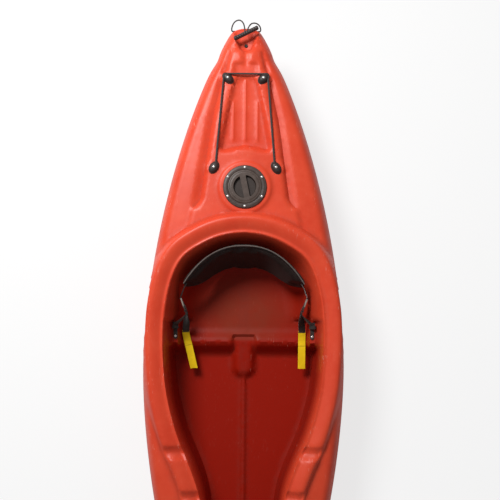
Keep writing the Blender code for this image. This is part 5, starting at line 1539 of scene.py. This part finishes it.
def woven(
    name, colour, lit_fleck, run_pitch, cross_pitch, rough=0.75, sheen=0.25, depth=0.00025, under=0.55, crease=0
):
    """Plain weave: yarns over and under each other, painted lighter on top and darker where they pass under,
    with fluff, a little dust and perhaps a painted shadow along a crease.
    """
    made, add, join = finish(name, colour, rough, Sheen_Weight=sheen, Specular_IOR_Level=0.25)
    place = add("TexCoord").outputs["Object"]
    split = add("SeparateXYZ", Vector=add("UVMap").outputs["UV"])
    run = math_node(add, "DIVIDE", split.outputs["X"], run_pitch)
    cross = math_node(add, "DIVIDE", split.outputs["Y"], cross_pitch)
    column = times(add, math_node(add, "FLOOR", cross, 0.0), 0.5)
    over = math_node(add, "PINGPONG", plus(add, run, column), 0.5)
    round_yarn = math_node(add, "PINGPONG", cross, 0.5)
    yarn = times(add, times(add, over, round_yarn), 4.0)
    fuzz = noise(add, place, 1100.0, 3.0)
    dust = noise(add, place, 45.0, 5.0, 0.65)
    # Painted light on the yarns' tops and painted shade where they pass under, set by under; the fuzz flecks
    # it.
    lit = times(add, stepped(add, yarn, 0.1, 0.9), stepped(add, fuzz, 0.15, 0.75))
    cloth = blended(add, lit, tuple(c * under for c in colour), lit_fleck)
    # Painted shadow along the crease.
    if crease:
        off = math_node(add, "ABSOLUTE", math_node(add, "SUBTRACT", split.outputs["X"], crease), 0.0)
        folded = times(add, stepped(add, off, 0.0022, 0.0006), 0.6)
        cloth = blended(add, folded, cloth, tuple(c * 0.3 for c in colour))
    dusty = tuple(c * 1.25 + 0.012 for c in colour)
    join(blended(add, times(add, stepped(add, dust, 0.45, 0.75), 0.45), cloth, dusty), "Base Color")
    join(plus(add, times(add, dust, 0.2), rough - 0.1), "Roughness")
    high_yarn = plus(add, yarn, times(add, fuzz, 0.4))
    join(add("Bump", Strength=0.7, Distance=depth, Height=high_yarn).outputs[0], "Normal")
    return made


def thread(name, colour):
    """Twisted sewing thread."""
    made, add, join = finish(name, colour, 0.6, Sheen_Weight=0.3)
    twist = noise(add, add("TexCoord").outputs["Object"], 2600.0, 1.0)
    join(blended(add, twist, tuple(c * 0.6 for c in colour), tuple(c * 1.3 for c in colour)), "Base Color")
    join(add("Bump", Strength=0.5, Distance=0.0001, Height=twist).outputs[0], "Normal")
    return made


def stitched(name, line, host, step=STITCH_STEP, radius=STITCH_RADIUS):
    """A row of stitches along a line, laid on another piece."""
    line = [Vector(p) for p in line]
    lengths = np.cumsum([0] + [(b - a).length for a, b in zip(line, line[1:])])
    mesh_data = bmesh.new()
    for travelled in np.arange(step / 2, lengths[-1], step):
        here, there = (
            Vector([float(np.interp(t, lengths, [p[axis] for p in line])) for axis in range(3)])
            for t in (travelled - step * 0.33, travelled + step * 0.33)
        )
        _, place, normal, _ = host.closest_point_on_mesh((here + there) / 2)
        along = (there - here) - (there - here).project(normal)
        side = normal.cross(along).normalized()
        basis = Matrix((along.normalized(), side, normal)).transposed().to_4x4()
        size = Matrix.Diagonal((along.length / 2, radius, radius * 1.3, 1))
        bmesh.ops.create_uvsphere(
            mesh_data,
            u_segments=6,
            v_segments=5,
            radius=1,
            matrix=Matrix.Translation(place + normal * radius * 0.3) @ basis @ size,
        )
    return piece(name, mesh_data, 80)


pad_mesh = bmesh.new()
weave_chart = pad_mesh.loops.layers.uv.new("weave")
edge_layer = pad_mesh.verts.layers.float.new("edge_distance")
for face_side in (-1, 1):
    grid = bmesh.ops.create_grid(pad_mesh, x_segments=PAD_COLUMNS, y_segments=PAD_ROWS, size=1)["verts"]
    panel = {face for vert in grid for face in vert.link_faces}
    for face in panel:
        for loop in face.loops:
            loop[weave_chart].uv = (loop.vert.co.x * 0.27, loop.vert.co.y * 0.06)
    for vert in grid:
        s, u = vert.co.x, (1 - vert.co.y) / 2
        depth = (pad_point(s, 1, 0) - pad_point(s, 0, 0)).length
        vert[edge_layer] = min(u * depth, (1 - u) * depth, (1 - abs(s)) * 0.24)
        flat = math.sqrt(max(0, 1 - abs(2 * u - 1) ** 8)) * math.sqrt(max(0, 1 - abs(s) ** 30))
        vert.co = pad_point(s, u, face_side * PAD_FOAM / 2 * flat)
bmesh.ops.remove_doubles(pad_mesh, verts=pad_mesh.verts, dist=1e-5)
pad = piece("backrest_cushion", pad_mesh, 80)

filling = pad.modifiers.new("filling", "CLOTH")
filling.settings.use_pressure = True
filling.settings.uniform_pressure_force = 4
filling.settings.effector_weights.gravity = 0
for moment in range(1, FILLING_MOMENTS + 1):
    bpy.context.scene.frame_set(moment)
flat_form = np.array([v.co for v in pad.data.vertices])
filled = pad.evaluated_get(bpy.context.evaluated_depsgraph_get()).data
moves = np.array([v.co for v in filled.vertices]) - flat_form
reach = np.linalg.norm(moves, axis=1, keepdims=True)
moves *= np.minimum(1, PAD_SWELL / np.maximum(reach, 1e-9))
pad.modifiers.clear()
pad.data.vertices.foreach_set("co", (flat_form + moves).ravel())
bpy.context.scene.frame_set(1)
smoothing = pad.modifiers.new("finer", "SUBSURF")
smoothing.levels = smoothing.render_levels = 1
settled(pad, 80)

edge_distance = np.array([value.value for value in pad.data.attributes["edge_distance"].data])
surface = np.array([v.co for v in pad.data.vertices])
normals = np.array([v.normal for v in pad.data.vertices])
from_seam = edge_distance - SEAM_INSET
row = np.exp(-((from_seam / 0.0022) ** 2)) * SEAM_DEPTH
rumple = np.sin(surface[:, 1] * 510 + surface[:, 2] * 140) * np.exp(-((from_seam / 0.006) ** 2)) * 0.0003
pad.data.vertices.foreach_set("co", (surface - normals * (row + rumple)[:, None]).ravel())
pad.data.update()
nylon = (0.0150, 0.0062, 0.0042)
pad_look = woven("coated_nylon", nylon, (0.027, 0.0125, 0.0092), 0.0008, 0.0008, 0.52, 0.04, 0.0001)
fitted(pad, "backrest", ["backrest_pad"], pad_look)


def seam_line(edge):
    """The inner row of stitching along the upper (0) or lower (1) edge, on the front."""
    line = []
    for s in np.linspace(-0.955, 0.955, 121):
        depth = (pad_point(s, 1, 0) - pad_point(s, 0, 0)).length
        share = SEAM_INSET / depth
        line.append(pad_point(s, 1 - share if edge else share, -PAD_FOAM * 0.5))
    return line


dark_thread = thread("dark_thread", (0.050, 0.034, 0.029))
for edge, label in enumerate(("upper", "lower")):
    row = stitched(f"backrest_{label}_stitches", seam_line(edge), pad)
    fitted(row, "backrest", [], dark_thread)

piping_line = [pad_point(s, 0, 0) + Vector((0, 0, PIPING_RADIUS * 0.9)) for s in np.linspace(-1, 1, 97)]
piping = corded("backrest_edge_piping", piping_line, PIPING_RADIUS)
piping_look = braided("piping_cloth", (0.105, 0.080, 0.070), (0.20, 0.155, 0.135), PIPING_RADIUS, 10.0)
fitted(piping, "backrest", ["backrest_piping"], piping_look)


# Side straps
# From each wing a short webbing stub runs to a ladder buckle with a snap hook, which clips to a
# strap from the bench's anchor plate; the buckle's free tail lies forward and ends in a yellow pull tab.

STRAP_WIDTH = 0.025
STRAP_THICK = 0.0015
BUCKLE_LENGTH = 0.030
BUCKLE_HEIGHT = 0.031
BUCKLE_PLACE = (SEAT_FRONT - 0.139, BACK_HALF_WIDTH + 0.0075, 0.200)
BUCKLE_TURN = math.radians(20)
BUCKLE_RAIL = 0.0030
BUCKLE_BAR = 0.0017
HOOK_LENGTH = 0.018
HOOK_HEIGHT = 0.028
HOOK_THICK = 0.0075
HOOK_BAR = 0.0021
ANCHOR_X = SEAT_FRONT - 0.029
ANCHOR_Y = BENCH_INNER + 0.0092
ANCHOR_LENGTH = 0.040
ANCHOR_WIDTH = 0.014
ANCHOR_THICK = 0.003
ANCHOR_SCREW = 0.010
LOOP_RADIUS = 0.0016
TAB_WIDTH = 0.0265
TAB_LAYER = 0.0013
SEWN_END = 0.020
STRAP_ROWS = 8
BOX_STITCH = 0.0030
BOX_THREAD = 0.0003
BUCKLE_PIN_X = -0.0122
BARREL_X = -0.0054
LOOP_HEIGHT = 0.0165


def strapped(name, line, leans, width, thickness):
    """Flat webbing along a line; leans is how far its width leans over from upright at each point."""
    stations = eased(np.column_stack([[tuple(p) for p in line], leans]), 3)
    spots = [Vector(station[:3]) for station in stations]
    travelled = np.cumsum([0] + [(b - a).length for a, b in zip(spots, spots[1:])])
    mesh_data = bmesh.new()
    chart = mesh_data.loops.layers.uv.new("weave")
    count = len(spots) - 1
    bmesh.ops.create_grid(mesh_data, x_segments=count, y_segments=STRAP_ROWS, size=0.5)
    for face in mesh_data.faces:
        for loop in face.loops:
            station = round((loop.vert.co.x + 0.5) * count)
            loop[chart].uv = (travelled[station], loop.vert.co.y * width)
    for vert in mesh_data.verts:
        i = round((vert.co.x + 0.5) * count)
        ahead = spots[min(i + 1, count)] - spots[max(i - 1, 0)]
        across = Vector((0, math.sin(stations[i, 3]), math.cos(stations[i, 3])))
        across = (across - across.project(ahead)).normalized()
        vert.co = spots[i] + across * vert.co.y * width
    made = piece(name, mesh_data, 50)
    thick = made.modifiers.new("thickness", "SOLIDIFY")
    thick.thickness = thickness
    thick.offset = 0
    settled(made, 50)
    return rounded(made, thickness * 0.22, 2, 50)


def turned_back(bar, away, through, radius, length):
    """The sewn end of a strap that comes back round a bar at radius and lies on itself, away from it."""
    flat = through * (STRAP_THICK * 0.56)
    return [
        bar + away * (radius + length) - flat,
        bar + away * (radius + length * 0.5) - flat * 1.05,
        bar + away * (radius + length * 0.2) - flat * 1.6,
        bar + away * radius * 0.5 - through * radius,
        bar - away * radius * 0.55 - through * radius,
        bar - away * radius,
        bar - away * radius * 0.55 + through * radius,
        bar + away * radius * 0.5 + through * radius,
        bar + away * (radius + length * 0.2) + flat * 1.6,
        bar + away * (radius + length * 0.5) + flat * 1.05,
    ]


def bar(mesh_data, place, size, turn=0.0):
    whole = Matrix.Translation(place) @ Matrix.Rotation(turn, 4, "Z") @ Matrix.Diagonal((*size, 1))
    bmesh.ops.create_cube(mesh_data, size=1, matrix=whole)


def ladder_buckle(name):
    """Two rails, a round bar for the sewn stub and three slanted flat bars for the tail."""
    rails = bmesh.new()
    for z in (-1, 1):
        bar(rails, (0, 0, z * (BUCKLE_HEIGHT - BUCKLE_RAIL) / 2), (BUCKLE_LENGTH, 0.0050, BUCKLE_RAIL))
    made = rounded(piece(name, rails), 0.0009, 3)
    rungs = ((-0.0020, 0.0036, 0.0030, 18), (0.0062, 0.0034, 0.0028, -18), (0.0132, 0.0052, 0.0026, 28))
    for x, wide, thick, turn in rungs:
        rung = bmesh.new()
        bar(rung, (x, 0, 0), (wide, thick, BUCKLE_HEIGHT - BUCKLE_RAIL), math.radians(turn))
        cut(made, rounded(piece("rung", rung), 0.0005, 2), "UNION")
    pin = bmesh.new()
    rod(pin, (BUCKLE_PIN_X, 0, 0), BUCKLE_BAR, BUCKLE_HEIGHT - BUCKLE_RAIL)
    return cut(made, piece("pin", pin), "UNION")


def snap_hook(name):
    """An upright barrel at the buckle's front and a rounded hook with a sprung gate beside it."""
    barrel = bmesh.new()
    rod(barrel, (BARREL_X, 0, 0), HOOK_THICK * 0.46, HOOK_HEIGHT, 28)
    made = rounded(piece(name, barrel), 0.0007, 2, 50)
    half = HOOK_HEIGHT / 2 - HOOK_BAR
    front = HOOK_LENGTH / 2 - HOOK_BAR
    path = [(BARREL_X, half), (front * 0.3, half), (front, half), (front, half * 0.4), (front, -half * 0.4)]
    path += [(front, -half), (front * 0.3, -half), (BARREL_X, -half)]
    curve = [Vector((x, 0, z)) for x, z in eased(np.array(path), 3)]
    cut(made, corded("hook", curve, HOOK_BAR, 16), "UNION")
    gate = bmesh.new()
    bar(gate, (front * 0.25, 0.0018, -half * 0.35), (0.0022, 0.0014, half * 1.1), 0.12)
    return cut(made, rounded(piece("gate", gate), 0.0004, 2), "UNION")


def anchor_plate(name, place):
    """A narrow plate with round ends and a countersunk seat; its wire loop is joined on where the plate is
    placed.
    """
    plate = bmesh.new()
    bar(plate, (0, 0, 0), (ANCHOR_LENGTH - ANCHOR_WIDTH, ANCHOR_WIDTH, ANCHOR_THICK))
    made = piece(name, plate)
    for end in (-1, 1):
        cap = bmesh.new()
        rod(cap, (end * (ANCHOR_LENGTH - ANCHOR_WIDTH) / 2, 0, 0), ANCHOR_WIDTH / 2, ANCHOR_THICK, 48)
        cut(made, piece("cap", cap), "UNION")
    seat = bmesh.new()
    rod(seat, (ANCHOR_SCREW, 0, ANCHOR_THICK / 2), SCREW_HEAD + 0.0012, 0.0010, 40)
    cut(made, piece("seat", seat))
    rounded(made, 0.0005, 2)
    made.data.transform(Matrix.Translation(place))
    return made


def make_side_straps(where, side, drift):
    """One side's straps and fittings; drift is how far the tab's end lies inboard of its root."""

    def placed(x, y, z):
        return Vector((x, y * side, z))

    def leaning(*degrees):
        return [math.radians(angle) * side for angle in degrees]

    turn = -BUCKLE_TURN * side
    forward = Matrix.Rotation(turn, 3, "Z") @ Vector((1, 0, 0))
    out = Matrix.Rotation(turn, 3, "Z") @ Vector((0, side, 0))
    up = Vector((0, 0, 1))
    buckle_middle = placed(*BUCKLE_PLACE)
    hook_middle = buckle_middle + forward * (BUCKLE_LENGTH / 2 + GAP + HOOK_LENGTH / 2)
    turned = Matrix.Rotation(turn, 4, "Z")
    buckle = ladder_buckle(f"side_buckle_{where}")
    buckle.data.transform(Matrix.Translation(buckle_middle) @ turned @ Matrix.Diagonal((1, side, 1, 1)))
    if side < 0:
        buckle.data.flip_normals()
    fitted(buckle, "backrest", [f"buckle_{where}"], buckle_look)
    hook = snap_hook(f"side_hook_{where}")
    hook.data.transform(Matrix.Translation(hook_middle) @ turned)
    fitted(hook, "backrest", [f"snap_hook_{where}"], hook_look)

    # The stub: sewn under the wing's edge, then round the buckle's rear pin
    wing = (pad_point(side, 0, 0) + pad_point(side, 1, 0)) / 2
    wing_root = (pad_point(side * 0.93, 0, 0) + pad_point(side * 0.93, 1, 0)) / 2
    pin = buckle_middle + forward * BUCKLE_PIN_X
    stub = turned_back(pin, -forward, out, BUCKLE_BAR + STRAP_THICK * 0.6, 0.007)
    stub += [wing + forward * 0.004 + out * 0.0004 - up * 0.003, wing_root + (wing - wing_root) * 0.3]
    stub_piece = strapped(f"wing_strap_{where}", stub, leaning(*[0] * len(stub)), STRAP_WIDTH, STRAP_THICK)
    fitted(stub_piece, "backrest", [f"strap_stub_{where}"], webbing_look)

    # The strap from the hook to the anchor's loop, sewn back on itself at both ends
    anchor_z = BENCH_HEIGHT + LOOP_HEIGHT
    loop_x = ANCHOR_X - ANCHOR_LENGTH / 2
    hook_bar = hook_middle + forward * (HOOK_LENGTH / 2 - HOOK_BAR)
    loop_bar = placed(loop_x, ANCHOR_Y, anchor_z)
    start = turned_back(hook_bar, forward, out, HOOK_BAR + STRAP_THICK * 0.6, SEWN_END)
    lean = math.radians(45)
    loop_through = Vector((0, math.cos(lean), -math.sin(lean) * side)) * side
    aft = Vector((-1, 0, 0))
    end = turned_back(loop_bar, aft, loop_through, LOOP_RADIUS + STRAP_THICK * 0.6, SEWN_END * 0.9)[::-1]
    middle = [
        start[-1].lerp(end[0], 0.45) + placed(0, -0.0030, 0.0012),
        start[-1].lerp(end[0], 0.8) + placed(0, -0.0012, 0.0004),
    ]
    leans = leaning(*[0] * len(start), 14, 34, *[45] * len(end))
    anchor_strap = strapped(f"bench_strap_{where}", start + middle + end, leans, STRAP_WIDTH, STRAP_THICK)
    anchor_strap.data.materials.append(webbing_look)
    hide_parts(f"anchor_strap_{where}")
    anchor_strap_rows = []
    for label, bar_spot, away, through, run in (
        ("hook", hook_bar, forward, out, SEWN_END),
        ("loop", loop_bar, aft, loop_through, SEWN_END * 0.9),
    ):
        across = through.cross(away).normalized()
        centre = bar_spot + away * (run * 0.72) + through * STRAP_THICK
        box = ((-1, -1), (1, -1), (1, 1), (-1, 1), (-1, -1), (1, 1))
        line = [centre + away * run * 0.22 * i + across * STRAP_WIDTH * 0.38 * j for i, j in box]
        row = stitched(f"bench_strap_{label}_stitches_{where}", line, anchor_strap, BOX_STITCH, BOX_THREAD)
        row.data.materials.append(dark_thread)
        anchor_strap_rows.append(row)
    for flexible in (anchor_strap, *anchor_strap_rows):
        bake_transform(flexible)

    # The tail: through the buckle's front bars, down past the hook and flat on to the seat's lip
    lane = BENCH_INNER - 0.0245
    tail_end = placed(SEAT_FRONT - 0.0415, lane, SEAT_PAN + SEAT_LIP + 0.0160)
    tail_start = hook_middle - out * (HOOK_THICK / 2 + STRAP_THICK / 2 + 2 * GAP)
    tail = [
        buckle_middle - forward * 0.0008 - out * 0.0034,
        buckle_middle + forward * 0.0060 - out * 0.0030,
        buckle_middle + forward * 0.0130 - out * 0.0042,
        tail_start,
        tail_start + forward * 0.014 - up * 0.014,
        tail_start.lerp(tail_end, 0.42) - placed(0, 0.0045, 0),
        tail_start.lerp(tail_end, 0.62) - placed(0, 0.0022, 0),
        tail_start.lerp(tail_end, 0.82) - placed(0, 0.0005, 0.0015),
        tail_end,
        tail_end + Vector((0.012, 0, -0.0052)),
    ]
    leans = leaning(0, 0, 0, 0, -5, -28, -55, -80, -90, -90)
    tail_piece = strapped(f"buckle_tail_{where}", tail, leans, STRAP_WIDTH, STRAP_THICK)
    tail_piece.data.materials.append(webbing_look)
    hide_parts(f"strap_tail_{where}")
    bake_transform(tail_piece)

    # The pull tab: yellow webbing folded over the tail's end and sewn in two places
    lip = SEAT_PAN + SEAT_LIP + 0.0015
    spots = [
        placed(SEAT_FRONT + reach, lane - drift * share, lip + rise)
        for reach, share, rise in (
            (-0.040, 0.00, 0.0128),
            (-0.030, 0.00, 0.0090),
            (-0.017, 0.08, 0.0045),
            (-0.002, 0.20, 0.0014),
            (0.023, 0.42, 0.0003),
            (0.053, 0.66, -0.0030),
            (0.097, 1.00, -0.0120),
        )
    ]
    upper, lower = [], []
    for i, spot in enumerate(spots):
        ahead = (spots[min(i + 1, len(spots) - 1)] - spots[max(i - 1, 0)]).normalized()
        off = Vector((-ahead.z, 0, ahead.x)) * (TAB_LAYER * 0.56)
        upper.append(spot + off)
        lower.append(spot - off)
    tip = spots[-1] + (spots[-1] - spots[-2]).normalized() * 0.0004
    tab = upper + [tip] + lower[::-1]
    tab_piece = strapped(f"yellow_tab_{where}", tab, leaning(*[-90] * len(tab)), TAB_WIDTH, TAB_LAYER)
    fitted(tab_piece, "hull", [f"pull_tab_{where}"], tab_look)
    for label, low_share, high_share in (("rear", 0.06, 0.26), ("front", 0.44, 0.56)):
        ends = []
        for share in (low_share, high_share):
            place = share * (len(upper) - 1)
            ends.append(upper[int(place)].lerp(upper[int(place) + 1], place % 1))
        across = placed(0, TAB_WIDTH * 0.40, 0)
        line = [ends[0] - across, ends[1] - across, ends[1] + across, ends[0] + across, ends[0] - across]
        if label == "rear":
            line += [ends[1] + across]
        line = [p + up * 0.001 for p in line]
        row = stitched(f"tab_{label}_stitches_{where}", line, tab_piece, BOX_STITCH, BOX_THREAD)
        fitted(row, "hull", [], tab_thread)

    # The anchor on the bench: plate, wire loop and screw
    plate_z = BENCH_HEIGHT + GAP + ANCHOR_THICK / 2
    plate = anchor_plate(f"bench_anchor_{where}", placed(ANCHOR_X, ANCHOR_Y, plate_z))
    reach = STRAP_WIDTH * 0.42
    loop = [
        placed(loop_x + 0.004, ANCHOR_Y - 0.004, plate_z),
        placed(loop_x, ANCHOR_Y - reach, plate_z + 0.003),
        placed(loop_x, ANCHOR_Y - reach, anchor_z - reach),
        placed(loop_x, ANCHOR_Y + reach, anchor_z + reach),
        placed(loop_x, ANCHOR_Y + reach, anchor_z + reach - 0.006),
        placed(loop_x + 0.004, ANCHOR_Y + 0.004, plate_z),
    ]
    wire = corded("anchor_wire", eased([tuple(p) for p in loop], 3), LOOP_RADIUS)
    cut(plate, wire, "UNION")
    fitted(plate, "hull", [f"strap_anchor_{where}"], hook_look)
    spot = (ANCHOR_X + ANCHOR_SCREW, ANCHOR_Y * side, plate_z + ANCHOR_THICK / 2)
    screw = pan_head(f"bench_screw_{where}", *spot, 0.014, 0.4 * side)
    fitted(screw, "hull", [f"anchor_screw_{where}"], steel)


webbing_look = woven("black_webbing", (0.0200, 0.0130, 0.0105), (0.052, 0.037, 0.031), 0.0016, 0.0013)
yellow, pale = (0.95, 0.64, 0.004), (1.0, 0.74, 0.006)
tab_look = woven("yellow_webbing", yellow, pale, 0.0016, 0.0013, 0.7, 0.0, under=0.85, crease=0.056)
tab_thread = thread("yellow_thread", (0.50, 0.35, 0.010))
buckle_look = moulded_brown("grey_buckle", (0.21, 0.170, 0.145), 1200.0)
hook_look = moulded_brown("moulded_hook", (0.030, 0.021, 0.018), 1500.0)
make_side_straps("port", 1, 0.0)
make_side_straps("starboard", -1, 0.030)


# Floor, backdrop, light and camera
# A plain white studio floor that runs into a white surround, one broad soft lamp from over the
# stern and to starboard, and a camera looking down on the stern half.


def studio_white(name, shade):
    """A white that the camera sees as plain white, with only a share of its shading."""
    made = bpy.data.materials.new(name)
    made.use_nodes = True
    tree = made.node_tree
    shader = tree.nodes["Principled BSDF"]
    shader.inputs["Base Color"].default_value = (0.86, 0.86, 0.86, 1)
    shader.inputs["Roughness"].default_value = 0.9
    glow = tree.nodes.new("ShaderNodeEmission")
    seen = tree.nodes.new("ShaderNodeLightPath")
    share = tree.nodes.new("ShaderNodeMath")
    share.operation = "MULTIPLY"
    share.inputs[1].default_value = 1 - shade
    mixed = tree.nodes.new("ShaderNodeMixShader")
    tree.links.new(seen.outputs["Is Camera Ray"], share.inputs[0])
    tree.links.new(share.outputs[0], mixed.inputs[0])
    tree.links.new(shader.outputs[0], mixed.inputs[1])
    tree.links.new(glow.outputs[0], mixed.inputs[2])
    tree.links.new(mixed.outputs[0], tree.nodes["Material Output"].inputs["Surface"])
    return made


floor_mesh = bmesh.new()
bmesh.ops.create_grid(floor_mesh, x_segments=2, y_segments=2, size=12)
floor = piece("studio_floor", floor_mesh)
floor.data.materials.append(studio_white("studio_floor", 0.25))

world = bpy.context.scene.world or bpy.data.worlds.new("studio")
bpy.context.scene.world = world
world.use_nodes = True
sky = world.node_tree
sky.nodes.clear()
path = sky.nodes.new("ShaderNodeLightPath")
level = sky.nodes.new("ShaderNodeMapRange")
level.inputs["To Min"].default_value = 0.26
sky.links.new(path.outputs["Is Camera Ray"], level.inputs["Value"])
light = sky.nodes.new("ShaderNodeBackground")
sky.links.new(level.outputs["Result"], light.inputs["Strength"])
light.inputs["Color"].default_value = (1, 1, 1, 1)
end = sky.nodes.new("ShaderNodeOutputWorld")
sky.links.new(light.outputs[0], end.inputs["Surface"])


def softbox(name, place, aim, width, power):
    lamp = bpy.data.lights.new(name, "AREA")
    lamp.shape = "DISK"
    lamp.size = width
    lamp.energy = power
    obj = bpy.data.objects.new(name, lamp)
    obj.location = place
    obj.rotation_mode = "QUATERNION"
    obj.rotation_quaternion = (Vector(aim) - Vector(place)).to_track_quat("-Z", "Y")
    bpy.context.scene.collection.objects.link(obj)


softbox("overhead_lamp", (-2.1, -1.25, 2.8), (-0.35, 0.0, 0.2), 1.2, 124)

CAMERA_PLACE = Vector((-0.10, 0.02, 3.30))
CAMERA_AIM = Vector((-0.41, 0.02, 0.22))
CAMERA_ROLL = math.radians(-0.45)
CAMERA_LENS = 62.26
ahead = (CAMERA_AIM - CAMERA_PLACE).normalized()
right = ahead.cross(Vector((-1, 0, 0))).normalized()
roll = Matrix.Rotation(CAMERA_ROLL, 3, ahead)
right = roll @ right
above = right.cross(ahead)
camera = bpy.data.objects.new("camera", bpy.data.cameras.new("camera"))
camera.matrix_world = Matrix.Translation(CAMERA_PLACE) @ Matrix((right, above, -ahead)).transposed().to_4x4()
camera.data.lens = CAMERA_LENS
camera.data.sensor_width = 36
bpy.context.scene.collection.objects.link(camera)
bpy.context.scene.camera = camera
bpy.context.scene.view_settings.view_transform = "Standard"
